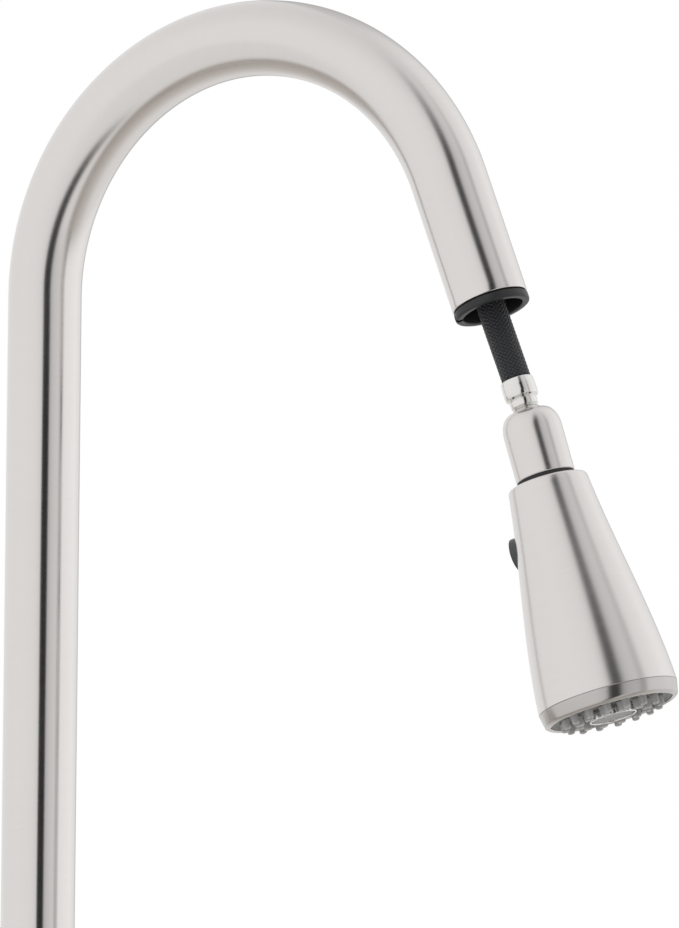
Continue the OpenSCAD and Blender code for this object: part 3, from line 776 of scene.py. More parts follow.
def gooseneck_path(sizes, tube_radius):
    """Centre points of the tube up the riser, round the arch and down to the mouth, in metres."""
    low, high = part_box("spout_tube")
    arch = sizes.arch_radius
    riser_top = high.z - arch - tube_radius
    sweep = UPRIGHT.to_3x3().col[2].angle(MOUTH_AXIS)
    centres = [(0, 0, z) for z in np.linspace(low.z, riser_top, 60)]
    for turn in np.linspace(0, sweep, 90)[1:]:
        centres.append((arch * (1 - math.cos(turn)), 0, riser_top + arch * math.sin(turn)))
    last = Vector(centres[-1])
    for share in np.linspace(0, 1, 16)[1:]:
        centres.append(tuple(last.lerp(MOUTH_POINT, share)))
    return np.array(centres)


def build_spout(settings):
    """Gooseneck tube with a rounded mouth edge, and the trim ring at its foot."""
    sizes = settings.sizes
    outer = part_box("spout_tube")[1].y
    inner = outer - sizes.tube_wall
    centres = gooseneck_path(sizes, outer)
    tangent, side, other = path_frames(centres)
    along = along_path(centres)
    lip = 0.35 * MM
    rings, stations = [], []
    for i in range(len(centres) - 1):
        rings.append(ring_round(centres[i], side[i], other[i], outer, FINE_SIDES))
        stations.append(along[i])
    for start, end, radius in ((90, 0, outer - lip), (0, -90, inner + lip)):
        for angle in np.radians(np.linspace(start, end, 5)):
            back = lip * (1 - math.cos(angle))
            across = radius + lip * math.sin(angle)
            centre = centres[-1] - tangent[-1] * back
            rings.append(ring_round(centre, side[-1], other[-1], across, FINE_SIDES))
            stations.append(along[-1] + abs(radius + lip - across))
    for i in reversed(range(len(centres) - 1)):
        rings.append(ring_round(centres[i], side[i], other[i], inner, FINE_SIDES))
        stations.append(2 * along[-1] - along[i])
    tube = link("gooseneck", skin("gooseneck", rings, stations, sharp=50))
    finished(tube, FINISHES["spout_nickel"], "spout_tube")
    start, end, reach = reach_of("spout_trim_ring", UPRIGHT)
    bore = outer / MM + 0.05
    trim = turned_piece(
        "spout_trim", [(bore, start, 0.1), (reach, start, 0.3), (reach, end, 1.1), (bore, end, 0.3)]
    )
    finished(trim, FINISHES["wand_nickel"], "spout_trim_ring")


# the liner's notch: its bearing in degrees, and its width and first station in mm
NOTCH_BEARING = -33
NOTCH_WIDTH = 2.5
NOTCH_START = 1.6


def build_mouth_liner():
    """Black liner in the spout's mouth: a rounded flange with a small notch."""
    low, high, reach = reach_of("dock_collar", MOUTH)
    inner = reach - 1.45
    bore = 11.1
    liner = turned_piece(
        "mouth_liner",
        [
            (inner, low, 0.2), (inner, 0.6, 0), (reach, 0.6, 0.3), (reach, high, 0.9),
            (bore, high, 0.6), (bore, low, 0.2),
        ],
        MOUTH,
    )
    notch = bpy.data.meshes.new("notch")
    shape = bmesh.new()
    bmesh.ops.create_cube(shape, size=1)
    shape.to_mesh(notch)
    shape.free()
    turn = Matrix.Rotation(math.radians(NOTCH_BEARING), 4, "Z")
    shift = Matrix.Translation((0.78 * reach * MM, 0, (NOTCH_START + high / 2) * MM))
    sized = Matrix.Diagonal((reach * MM, NOTCH_WIDTH * MM, high * MM, 1))
    notch.transform(MOUTH @ turn @ shift @ sized)
    cut_away(liner, notch)
    finished(liner, FINISHES["liner_plastic"], "dock_collar")


# ---- wand ----

def build_hose_end():
    """Crimped ferrule on the hose, and the ball that the wand swivels on."""
    top, _, reach = reach_of("hose_ferrule", HOSE_END)
    r = reach - 0.15
    ferrule = turned_piece(
        "ferrule",
        [
            (3.0, top, 0.2), (r - 0.1, top, 0.35), (r + 0.15, top + 2.5, 1.5), (r + 0.15, -11, 1.0),
            (r - 0.05, -9.7, 0.3), (r - 0.8, -9.25, 0.2), (r - 1.35, -8.9, 0.15), (r - 0.95, -8.5, 0.2),
            (r - 1.1, -6.2, 0.2), (3.0, -6.2, 0.2),
        ],
        HOSE_END, sides=SMALL_SIDES,
    )
    finished(ferrule, FINISHES["polished_steel"], "hose_ferrule")
    ball_r = reach_of("hose_ball", HOSE_END)[2]
    bore = 2.4
    outline = [(bore, -6.3), (3.9, -6.3), (4.0, -6.1)]
    start, end = math.asin(4.0 / ball_r), math.pi - math.asin(bore / ball_r)
    for angle in np.linspace(start, end, 40):
        outline.append((ball_r * math.sin(angle), -ball_r * math.cos(angle)))
    ball = link("swivel_ball", lathe("swivel_ball", outline, HOSE_END, sides=SMALL_SIDES))
    finished(ball, FINISHES["polished_steel"], "hose_ball")


def shell_radius(share, top, foot, length):
    """Outside radius of the wand's shell, a gentle S from top to foot."""
    rest = 1 - share
    return (
        rest**3 * top + 3 * rest**2 * share * (top + length / 30)
        + 3 * rest * share**2 * (foot - length / 62) + share**3 * foot
    )


def slot_solid(name, width, length, low, high, place, rounding=0.0, crown=None):
    """Round ended bar, width across X and length along Y, from low to high along a place's Z, in mm."""
    sides = 64
    points = []
    straight = (length - width) / 2
    for k in range(sides):
        angle = TURN * k / sides
        shift = straight if math.sin(angle) >= 0 else -straight
        points.append((math.cos(angle), math.sin(angle), shift))
    points = np.array(points)

    def level(radius, height):
        flat = np.c_[points[:, 0] * radius, points[:, 1] * radius + points[:, 2]]
        top = np.full(sides, float(height))
        if crown is not None:
            bulge = high - crown + np.sqrt(np.maximum(crown**2 - (flat**2).sum(1), 0))
            top = np.minimum(top, bulge)
        return np.c_[flat, top] * MM

    half = width / 2
    rings = [level(half, low)]
    for angle in np.radians(np.linspace(0, 90, 7)) if rounding else (0.0,):
        radius = half - rounding * (1 - math.cos(angle))
        rings.append(level(radius, high - rounding * (1 - math.sin(angle))))
    inset = half - rounding
    for share in (0.75, 0.5, 0.25):
        rings.append(level(inset * share, high))
    stations = np.arange(len(rings)) * MM
    mesh = skin(name, rings, stations, closed=False, sharp=40)
    mesh.transform(place)
    return mesh


def build_wand():
    """Neck with its domed shoulder, the flared shell with the button's window, and the bezel."""
    neck_top, _, neck_r = reach_of("wand_neck", WAND)
    shell_top, shell_foot, foot_r = reach_of("wand_shell", WAND)
    neck_foot = reach_of("seam_ring", WAND)[0]
    hole_r = 6.4
    dome_height = 7.4
    outline = [(hole_r, 0.5), (hole_r, neck_top)]
    for share in np.linspace(0, 1, 18)[1:]:
        angle = share * math.pi / 2
        outline.append(
            (hole_r + (neck_r - hole_r) * math.sin(angle), neck_top + dome_height * (1 - math.cos(angle)))
        )
    spigot_r = neck_r - 0.8
    seam_top = neck_foot - 0.9
    outline += [(neck_r, seam_top - 0.25), (neck_r - 0.25, seam_top), (spigot_r, seam_top)]
    spigot_foot, spigot_bore = neck_foot + 12, spigot_r - 1.5
    outline += [
        (spigot_r, spigot_foot), (spigot_bore, spigot_foot), (spigot_bore, 1.0), (hole_r + 1, 0.5)
    ]
    neck = link("wand_neck_shell", lathe("wand_neck_shell", outline, WAND))
    finished(neck, FINISHES["wand_nickel"], "wand_neck")
    seam_r = neck_r - 0.35
    seam = turned_piece(
        "wand_seam",
        [
            (spigot_r, seam_top, 0), (seam_r, seam_top, 0.2),
            (seam_r, shell_top, 0.1), (spigot_r, shell_top, 0),
        ],
        WAND,
    )
    finished(seam, FINISHES["black_rubber"], "seam_ring")

    length = shell_foot - shell_top
    top_r = 14.45
    wall = 1.8
    edge = 0.9
    outside = [
        (top_r - edge + edge * math.sin(angle), shell_top + edge - edge * math.cos(angle))
        for angle in np.radians(np.linspace(0, 90, 7))
    ]
    shares = np.linspace(0, 1, 61)
    outside += [
        (shell_radius(s, top_r, foot_r, length), shell_top + length * s)
        for s in shares if length * s > edge + 0.4
    ]
    outside[-1] = (outside[-1][0], shell_foot - 0.12)
    outside.append((outside[-1][0] - 0.12, shell_foot))
    inside = [
        (shell_radius(s, top_r, foot_r, length) - wall, shell_top + length * s) for s in shares[::-4]
    ]
    step = shell_top + 3
    inside = [point for point in inside if point[1] > step]
    inside += [(top_r - wall, step), (spigot_r + 0.05, step), (spigot_r + 0.05, shell_top)]
    shell = link("wand_body_shell", lathe("wand_body_shell", outside + inside, WAND, sides=SHELL_SIDES))
    window_width, window_length, window_floor = 12.8, 16.8, 8.0
    window = slot_solid("window", window_width, window_length, window_floor, foot_r, button_place())
    cut_away(shell, window)
    finished(shell, FINISHES["wand_nickel"], "wand_shell")

    end = reach_of("bezel_ring", WAND)[1]
    bezel_top = shell_foot + 0.06
    inner = foot_r - 3.1
    bezel = turned_piece(
        "wand_bezel",
        [
            (inner, bezel_top, 0), (foot_r - 0.05, bezel_top, 0.15), (foot_r - 0.95, end - 0.9, 1.1),
            (foot_r - 2.15, end, 0.8), (inner + 0.3, end - 0.1, 0.12), (inner, end - 0.5, 0.1),
        ],
        WAND, sides=BEZEL_SIDES,
    )
    finished(bezel, FINISHES["bezel_nickel"], "bezel_ring")


def coil_tree():
    """Geometry Nodes tree: a thread ridge or a wire wound round the Z axis."""
    tree, given, result = node_group(
        "Coil",
        "GeometryNodeTree",
        [
            ("Radius", "NodeSocketFloat", 0.016),
            ("Pitch", "NodeSocketFloat", 0.002),
            ("Length", "NodeSocketFloat", 0.05),
            ("Ridge", "NodeSocketFloat", 0.0007),
            ("Ridge Sides", "NodeSocketInt", 4),
            ("Material", "NodeSocketMaterial", None),
        ],
        [("Geometry", "NodeSocketGeometry")],
    )
    turns = tree.math("DIVIDE", given["Length"], given["Pitch"])
    spiral = tree.add(
        "GeometryNodeCurveSpiral",
        {
            "Resolution": 64, "Rotations": turns, "Start Radius": given["Radius"],
            "End Radius": given["Radius"], "Height": given["Length"],
        },
    )
    circle = tree.add(
        "GeometryNodeCurvePrimitiveCircle", {"Resolution": given["Ridge Sides"], "Radius": given["Ridge"]}
    )
    solid = tree.add(
        "GeometryNodeCurveToMesh",
        {"Curve": spiral.outputs[0], "Profile Curve": circle.outputs[0], "Fill Caps": True},
    )
    tree.give(result, solid.outputs[0], given["Material"])
    return tree.tree


def button_place():
    """Local frame of the spray button, Z out through it."""
    low, high = in_place("spray_button", WAND).min(0), in_place("spray_button", WAND).max(0)
    middle = WAND @ Vector((0, 0, (low[2] + high[2]) / 2 * MM))
    out = -joint_axis("button_press")
    return place_of(middle, -joint_axis("wand_spin"), out)


def build_button():
    """Domed button that switches stream and spray."""
    place = button_place()
    points = in_place("spray_button", place)
    low, high = points.min(0), points.max(0)
    cap = slot_solid(
        "button_cap", high[0] - low[0], high[1] - low[1], low[2], high[2], place, rounding=0.9, crown=15.0
    )
    finished(link("button_cap", cap), FINISHES["dark_plastic"], "spray_button")

    # the return spring, which shortens between the wand and the button as it is pressed, is wound here once
    # at its resting length
    low, high, reach = reach_of("diverter_spring", place)
    wire = 0.35
    turns = 4
    length = high - low - 2 * wire
    spring = run_tree(
        link("return_spring", bpy.data.meshes.new("return_spring")),
        coil_tree(),
        {
            "Radius": (reach - wire) * MM, "Pitch": length / turns * MM, "Length": length * MM,
            "Ridge": wire * MM, "Ridge Sides": 8, "Material": FINISHES["steel"],
        },
    )
    spring.data.transform(place @ Matrix.Translation((0, 0, (low + wire) * MM)))
    spring.data.shade_smooth()
    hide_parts("diverter_spring")
    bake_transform(spring)


# ---- spray face ----

def nozzle_tree():
    """Geometry Nodes tree: two rings of nozzles on the spray face."""
    tree, given, result = node_group(
        "Nozzle Rings",
        "GeometryNodeTree",
        [
            ("Outer Nozzle", "NodeSocketObject", None),
            ("Inner Nozzle", "NodeSocketObject", None),
            ("Outer Count", "NodeSocketInt", 16),
            ("Inner Count", "NodeSocketInt", 12),
            ("Outer Ring", "NodeSocketFloat", 0.0174),
            ("Inner Ring", "NodeSocketFloat", 0.0126),
            ("Material", "NodeSocketMaterial", None),
        ],
        [("Geometry", "NodeSocketGeometry")],
    )
    both = tree.add("GeometryNodeJoinGeometry")
    for which, turn in (("Outer", 0.0), ("Inner", math.radians(15))):
        circle = tree.add(
            "GeometryNodeMeshCircle",
            {"Vertices": given[which + " Count"], "Radius": given[which + " Ring"]},
        )
        turned = tree.add(
            "GeometryNodeTransform", {"Geometry": circle.outputs[0], "Rotation": (0, 0, turn)}
        )
        nub = tree.add("GeometryNodeObjectInfo", {"Object": given[which + " Nozzle"]})
        spin = tree.add(
            "FunctionNodeRandomValue", {"Min": (0, 0, 0), "Max": (0, 0, TURN), "Seed": 7},
            data_type="FLOAT_VECTOR",
        )
        set_out = tree.add(
            "GeometryNodeInstanceOnPoints",
            {
                "Points": turned.outputs[0],
                "Instance": nub.outputs["Geometry"],
                "Rotation": spin.outputs["Value"],
            },
        )
        tree.feed(both.inputs[0], set_out.outputs[0])
    tree.give(result, both.outputs[0], given["Material"])
    return tree.tree


def comb_tree():
    """Geometry Nodes tree: a round field of small blocks in rows, the aerator's outlet comb."""
    tree, given, result = node_group(
        "Aerator Comb",
        "GeometryNodeTree",
        [
            ("Radius", "NodeSocketFloat", 0.0074),
            ("Cell", "NodeSocketFloat", 0.0012),
            ("Height", "NodeSocketFloat", 0.0016),
            ("Block", "NodeSocketObject", None),
            ("Material", "NodeSocketMaterial", None),
        ],
        [("Geometry", "NodeSocketGeometry")],
    )
    across = tree.math("MULTIPLY", given["Radius"], 2.0)
    count = tree.math("ADD", tree.math("FLOOR", tree.math("DIVIDE", across, given["Cell"])), 1.0)
    width = tree.math("MULTIPLY", tree.math("SUBTRACT", count, 1.0), given["Cell"])
    grid = tree.add(
        "GeometryNodeMeshGrid", {"Size X": width, "Size Y": width, "Vertices X": count, "Vertices Y": count}
    )
    place = tree.add("GeometryNodeInputPosition").outputs[0]
    outside = tree.add("FunctionNodeCompare", {"A": tree.vector("LENGTH", place), "B": given["Radius"]},
                       data_type="FLOAT", operation="GREATER_THAN")
    kept = tree.add(
        "GeometryNodeDeleteGeometry",
        {"Geometry": grid.outputs["Mesh"], "Selection": outside.outputs["Result"]}, domain="POINT",
    )
    block = tree.add("GeometryNodeObjectInfo", {"Object": given["Block"]})
    size = tree.add("ShaderNodeCombineXYZ", {"X": given["Cell"], "Y": given["Cell"], "Z": given["Height"]})
    set_out = tree.add(
        "GeometryNodeInstanceOnPoints",
        {"Points": kept.outputs[0], "Instance": block.outputs["Geometry"], "Scale": size.outputs[0]},
    )
    tree.give(result, set_out.outputs[0], given["Material"])
    return tree.tree


def run_tree(made, tree, values):
    """Runs a Geometry Nodes tree on an object with its inputs set by name, and keeps the plain mesh."""
    modifier = made.modifiers.new("Build", "NODES")
    modifier.node_group = tree
    for item in tree.interface.items_tree:
        if item.item_type == "SOCKET" and item.in_out == "INPUT" and item.name in values:
            modifier[item.identifier] = values[item.name]
    return as_mesh(made)


def build_spray_face(settings):
    """Dark plate, translucent nozzles in two rings, and the aerator in its bright rim."""
    sizes = settings.sizes
    plate_low, plate_high, plate_r = reach_of("face_plate", WAND)
    rim_low, rim_high, rim_r = reach_of("aerator_ring", WAND)
    lip_r = rim_r - 1.1
    hole = lip_r + 0.6
    plate = turned_piece(
        "spray_plate_disc",
        [
            (hole, plate_low, 0.1), (plate_r, plate_low, 0.1), (plate_r, plate_high, 0.1),
            (plate_r - 1.4, plate_high, 0.3), (plate_r - 1.9, plate_high - 0.4, 0.3),
            (hole + 1.2, plate_high - 0.4, 0.3), (hole + 0.8, plate_high + 0.3, 0.3),
            (hole, plate_high + 0.3, 0.2),
        ],
        WAND,
    )
    finished(plate, FINISHES["spray_plate"], "face_plate")

    tip = reach_of("nozzle_pad", WAND)[1]
    base = plate_high - 1.2
    nubs = []
    for name, radius in (("outer_nub", 1.42), ("inner_nub", 1.72)):
        outline = [
            (0, base), (radius + 0.15, base), (radius + 0.15, plate_high - 0.2),
            (radius - 0.02, plate_high + 0.3),
            (radius - 0.1, tip - 0.55), (radius - 0.22, tip - 0.2), (radius - 0.5, tip), (0.62, tip),
            (0.5, tip - 0.15), (0.45, tip - 1.4), (0, tip - 1.4),
        ]
        nubs.append(link(name, lathe(name, outline, sides=28, sharp=60)))
    nozzles = run_tree(
        link("spray_nozzles", bpy.data.meshes.new("spray_nozzles")),
        nozzle_tree(),
        {
            "Outer Nozzle": nubs[0], "Inner Nozzle": nubs[1],
            "Outer Count": sizes.outer_nozzles, "Inner Count": sizes.inner_nozzles,
            "Material": FINISHES["grey_silicone"],
        },
    )
    pad_low = reach_of("nozzle_pad", WAND)[0]
    pad_r = plate_r - 1.7
    outline = [(hole, pad_low, 0), (pad_r, pad_low, 0.1), (pad_r, plate_low, 0.1), (hole, plate_low, 0)]
    pad = lathe("pad", rounded(outline), sides=SMALL_SIDES)
    nozzles.data = join_meshes("spray_nozzles", [nozzles.data, pad])
    nozzles.data.transform(WAND)
    finished(nozzles, FINISHES["grey_silicone"], "nozzle_pad")

    rim = turned_piece(
        "aerator_rim",
        [
            (lip_r - 0.75, rim_low, 0), (rim_r, rim_low, 0.1), (rim_r, rim_low + 3.3, 0.1),
            (lip_r, rim_low + 3.3, 0),
            (lip_r, rim_high, 0.35), (lip_r - 0.75, rim_high, 0.3),
        ],
        WAND,
    )
    finished(rim, FINISHES["polished_steel"], "aerator_ring")

    comb_r = lip_r - 1.3
    floor_at = reach_of("aerator_core", WAND)[0]
    comb_top = rim_high - 0.35
    outline = rounded([(0, 0, 0), (0.52, 0, 0.06), (0.36, 1, 0.1), (0, 1, 0)], steps=2)
    block = lathe("comb_block", outline, sides=4, sharp=30)
    block.transform(Matrix.Rotation(math.radians(45), 4, "Z") @ Matrix.Scale(1000, 4))
    block_object = link("comb_block", block)
    comb = run_tree(
        link("aerator_comb", bpy.data.meshes.new("aerator_comb")),
        comb_tree(),
        {"Radius": comb_r * MM, "Block": block_object, "Material": FINISHES["clear_grey_plastic"]},
    )
    comb.data.transform(Matrix.Translation((0, 0, (comb_top - 1.6) * MM)))
    disc_r, disc_top = comb_r + 0.5, comb_top - 1.5
    outline = [(0, floor_at, 0), (disc_r, floor_at, 0.1), (disc_r, disc_top, 0.1), (0, disc_top, 0)]
    disc = lathe("disc", rounded(outline), sides=SMALL_SIDES)
    comb.data = join_meshes("aerator_comb", [comb.data, disc])
    comb.data.transform(WAND)
    finished(comb, FINISHES["clear_grey_plastic"], "aerator_core")
    for helper in (*nubs, block_object):
        bpy.data.objects.remove(helper)


# ---- hoses ----

# the routes of the hose, the same points that its CAD solids follow, in metres
SPOUT_ROUTE = [
    (0.205, 0, 0.3186), (0.194, 0, 0.347), (0.186, 0, 0.370), (0.177, 0, 0.392), (0.161, 0, 0.420),
    (0.138, 0, 0.439), (0.115, 0, 0.4485), (0.0915, 0, 0.4515), (0.068, 0, 0.4485), (0.046, 0, 0.439),
    (0.027, 0, 0.425), (0.013, 0, 0.406), (0.003, 0, 0.384), (0, 0, 0.360), (0, 0, 0.330), (0, 0, 0.300),
    (0, 0, 0.270), (0, 0, 0.240),
]
DROP_ROUTE = [(0, 0, 0.236 - 0.032 * k) for k in range(20)]
LOOP_ROUTE = [
    (0, 0, -0.372), (0, 0, -0.385), (0.003, 0, -0.400), (0.012, 0, -0.415), (0.026, 0, -0.425),
    (0.042, 0, -0.428), (0.058, 0, -0.425), (0.071, 0, -0.415), (0.079, 0, -0.400), (0.082, 0, -0.382),
    (0.080, 0.001, -0.362), (0.075, 0.001, -0.342), (0.068, 0.002, -0.320), (0.060, 0.003, -0.295),
    (0.052, 0.004, -0.270), (0.045, 0.005, -0.245), (0.038, 0.005, -0.220), (0.032, 0.005, -0.195),
    (0.027, 0.005, -0.170), (0.024, 0.005, -0.150), (0.024, 0.005, -0.132),
]


# the lengths that stay out of sight have fewer and wider spaced bands, to keep the mesh light
COARSE_BANDS = 12
COARSE_SPACING = 1.25 * MM
FINE_SPACING = 0.4 * MM
# length of the hose in the spout that is braided in full, from the ferrule
SEEN_BRAID = 0.036
# depth of the inner tube under the hose's outside, under the braid and past it, and of the bands' middles
TUBE_DEPTH = 0.35 * MM
BARE_DEPTH = 0.08 * MM
BAND_DEPTH = 0.30 * MM


def smooth_route(points, step):
    """A smooth line through a route's points, with points about step apart."""
    points = np.array(points, float)
    padded = np.vstack([2 * points[0] - points[1], points, 2 * points[-1] - points[-2]])
    line = []
    for i in range(len(points) - 1):
        a, b, c, d = padded[i : i + 4]
        for t in np.linspace(0, 1, 24, endpoint=False):
            bend = (2 * a - 5 * b + 4 * c - d) * t**2 + (3 * b - a - 3 * c + d) * t**3
            line.append(0.5 * (2 * b + (c - a) * t + bend))
    line = np.array([*line, points[-1]])
    at = along_path(line)
    even = np.linspace(0, at[-1], max(2, round(at[-1] / step) + 1))
    return np.stack([np.interp(even, at, line[:, k]) for k in range(3)], axis=1)


def braid_tree():
    """Geometry Nodes tree: bands that turn both ways round a curve and pass over and under each other."""
    tree, given, result = node_group(
        "Hose Braid",
        "GeometryNodeTree",
        [
            ("Geometry", "NodeSocketGeometry", None),
            ("Bands", "NodeSocketInt", 12),
            ("Radius", "NodeSocketFloat", 0.0051),
            ("Weave Depth", "NodeSocketFloat", 0.00012),
            ("Pitch", "NodeSocketFloat", 0.03),
            ("Band Width", "NodeSocketFloat", 0.00185),
            ("Band Thickness", "NodeSocketFloat", 0.00028),
            ("Spacing", "NodeSocketFloat", 0.0008),
            ("Material", "NodeSocketMaterial", None),
        ],
        [("Geometry", "NodeSocketGeometry")],
    )
    even = tree.add(
        "GeometryNodeResampleCurve", {"Curve": given["Geometry"], "Length": given["Spacing"]}, mode="LENGTH"
    )
    length = tree.add("GeometryNodeSplineParameter").outputs["Length"]
    tangent = tree.add("GeometryNodeInputTangent").outputs[0]
    kept = tree.store(even.outputs[0], "run", "FLOAT", length)
    kept = tree.store(kept, "heading", "FLOAT_VECTOR", tangent)
    copies = tree.add("GeometryNodeDuplicateElements", {"Geometry": kept}, domain="SPLINE")
    tree.feed(copies.inputs["Amount"], tree.math("MULTIPLY", given["Bands"], 2.0))
    index = copies.outputs["Duplicate Index"]
    run = tree.stored("run", "FLOAT")
    heading = tree.stored("heading", "FLOAT_VECTOR")
    hand = tree.math("MULTIPLY_ADD", tree.math("MODULO", index, 2.0), -2.0, 1.0)
    band = tree.math("FLOOR", tree.math("DIVIDE", index, 2.0))
    turned = tree.math("MULTIPLY", hand, tree.math("DIVIDE", run, given["Pitch"]))
    angle = tree.math("MULTIPLY", TURN, tree.math("ADD", turned, tree.math("DIVIDE", band, given["Bands"])))
    crossing = tree.math("MULTIPLY", 2.0, tree.math("MULTIPLY_ADD", turned, given["Bands"], band))
    wave = tree.math("SINE", tree.math("MULTIPLY_ADD", crossing, TURN / 4, TURN / 8))
    lift = tree.math("MULTIPLY", tree.math("MULTIPLY", hand, wave), given["Weave Depth"])
    side = tree.vector("NORMALIZE", tree.vector("CROSS_PRODUCT", heading, (0, 1, 0)))
    other = tree.vector("CROSS_PRODUCT", side, heading)
    outward = tree.vector(
        "ADD", tree.scaled(side, tree.math("COSINE", angle)), tree.scaled(other, tree.math("SINE", angle))
    )
    away = tree.scaled(outward, tree.math("ADD", given["Radius"], lift))
    strands = tree.store(copies.outputs["Geometry"], "outward", "FLOAT_VECTOR", outward)
    moved = tree.add("GeometryNodeSetPosition", {"Geometry": strands, "Offset": away})
    upright = tree.add(
        "GeometryNodeSetCurveNormal",
        {"Curve": moved.outputs[0], "Normal": tree.stored("outward", "FLOAT_VECTOR")},
        mode="FREE",
    )
    circle = tree.add("GeometryNodeCurvePrimitiveCircle", {"Resolution": 6, "Radius": 0.5})
    flat = tree.add(
        "ShaderNodeCombineXYZ", {"X": given["Band Thickness"], "Y": given["Band Width"], "Z": 1.0}
    ).outputs[0]
    profile = tree.add("GeometryNodeTransform", {"Geometry": circle.outputs[0], "Scale": flat})
    solid = tree.add(
        "GeometryNodeCurveToMesh",
        {"Curve": upright.outputs[0], "Profile Curve": profile.outputs[0], "Fill Caps": True},
    )
    tree.give(result, solid.outputs[0], given["Material"])
    return tree.tree


def braided_hose(name, route, sizes, tree, material, bands, spacing, braided=1.0, sides=24):
    """(object, path) of a hose: an inner tube with braid bands over its first stretch, in metres."""
    path = smooth_route(route, 2 * MM)
    radius = sizes.hose_diameter / 2
    _, side, other = path_frames(path)
    at = along_path(path)
    cover = np.where(at <= braided, radius - TUBE_DEPTH, radius - BARE_DEPTH)
    rings = [ring_round(path[i], side[i], other[i], cover[i], sides) for i in range(len(path))]
    tube = skin(name, rings, at, closed=False)
    curve = bpy.data.curves.new(name + "_line", "CURVE")
    curve.dimensions = "3D"
    spline = curve.splines.new("POLY")
    kept = path[at <= braided + 1e-6]
    spline.points.add(len(kept) - 1)
    spline.points.foreach_set("co", np.c_[kept, np.ones(len(kept))].ravel())
    strands = link(name + "_strands", curve)
    width = 0.8 * TURN * radius / bands / math.hypot(1, TURN * radius / sizes.braid_pitch)
    values = {
        "Bands": bands,
        "Radius": radius - BAND_DEPTH,
        "Pitch": sizes.braid_pitch,
        "Band Width": 1.25 * width,
        "Spacing": spacing,
        "Material": material,
    }
    strands = run_tree(strands, tree, values)
    strands.data.shade_smooth()
    made = link(name, join_meshes(name, [tube, strands.data]))
    bpy.data.objects.remove(strands)
    made.data.materials.append(material)
    return made, path


def build_hoses(settings):
    """The braided hose in three pieces: in the spout, down the shank, and the loop under the deck."""
    sizes = settings.sizes
    tree = braid_tree()

    upper, path = braided_hose(
        "hose_in_spout", SPOUT_ROUTE, sizes, tree, FINISHES["spout_braid"], sizes.braid_bands,
        FINE_SPACING, SEEN_BRAID,
    )
    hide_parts("hose_upper")
    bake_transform(upper)

    drop, path = braided_hose(
        "hose_in_shank", DROP_ROUTE, sizes, tree, FINISHES["black_braid"], COARSE_BANDS, COARSE_SPACING
    )
    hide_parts("hose_drop")
    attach(drop, "counterweight")

    loop, path = braided_hose(
        "hose_under_deck", LOOP_ROUTE, sizes, tree, FINISHES["black_braid"], COARSE_BANDS, COARSE_SPACING
    )
    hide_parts("hose_loop")
    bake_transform(loop)


# ---- valve body, lever and mounting ----

def build_body():
    """Rounded foot ring that meets the deck."""
    start, end, reach = reach_of("base_ring", UPRIGHT)
    bore = reach_of("shank", UPRIGHT)[2] + 0.6
    ring = turned_piece(
        "body_foot_ring",
        [
            (bore, start + 1.5, 0), (reach - 0.9, start + 1.5, 0), (reach - 0.9, start, 0.2),
            (reach, start, 0.2), (reach, end, 2.5), (bore, end, 0.3),
        ],
    )
    finished(ring, FINISHES["wand_nickel"], "base_ring")


# the lever's hub, a dome about the pivot: its radii, and its foot's distance from the pivot, in mm
HUB_OUTER = 21.3
HUB_INNER = 18.3
HUB_FOOT = 10.5
# the blade: widths and thicknesses at root and tip, its distance from the pivot and its rise, in mm
BLADE_WIDTHS = (10.0, 12.0)
BLADE_THICKNESS = (5.6, 4.0)
BLADE_REACH = 16
BLADE_RISE = 1.5
# how square its cross section is
BLADE_POWER = 2 / 3.4
BLADE_SIDES = 64


def build_lever():
    """Domed hub and the slim lever blade."""
    outer, inner = HUB_OUTER, HUB_INNER
    low = PIVOT_Y + HUB_FOOT
    first, last = math.acos(HUB_FOOT / outer), math.acos(HUB_FOOT / inner)
    outline = [(inner * math.sin(last), low)]
    for angle in np.linspace(first, 0, 40):
        outline.append((outer * math.sin(angle), PIVOT_Y + outer * math.cos(angle)))
    for angle in np.linspace(0, last, 24):
        outline.append((inner * math.sin(angle), PIVOT_Y + inner * math.cos(angle)))
    hub = link("lever_hub", lathe("lever_hub", outline, LEVER))
    finished(hub, FINISHES["wand_nickel"], "handle_hub")

    points = in_place("handle_lever", LEVER)
    root, tip = points[:, 0].min(), points[:, 0].max()
    mid_root = PIVOT_Y + BLADE_REACH
    nose = BLADE_WIDTHS[1] / 2
    straight = tip - nose - root
    cross = TURN * np.arange(BLADE_SIDES) / BLADE_SIDES
    nose_shares = 1 + np.sin(np.radians(np.linspace(0, 90, 12))) * nose / straight
    rings, stations = [], []
    for share in (*np.linspace(0, 1, 30)[:-1], *nose_shares):
        run = min(share, 1.0)
        at = root + share * straight
        beyond = min(max(at - (tip - nose), 0) / nose, 1)
        narrow = max(math.sqrt(1 - beyond**2), 0.02)
        wide = (BLADE_WIDTHS[0] + (BLADE_WIDTHS[1] - BLADE_WIDTHS[0]) * run) * narrow
        thick = (BLADE_THICKNESS[0] + (BLADE_THICKNESS[1] - BLADE_THICKNESS[0]) * run) * narrow**0.5
        y = wide / 2 * np.sign(np.cos(cross)) * np.abs(np.cos(cross)) ** BLADE_POWER
        z = thick / 2 * np.sign(np.sin(cross)) * np.abs(np.sin(cross)) ** BLADE_POWER
        middle = mid_root + BLADE_RISE * run
        rings.append(np.c_[np.full(BLADE_SIDES, at), y, middle + z] * MM)
        stations.append(at * MM)
    blade = skin("lever_blade", rings, stations, closed=False, sharp=50)
    blade.transform(LEVER)
    finished(link("lever_blade", blade), FINISHES["wand_nickel"], "handle_lever")


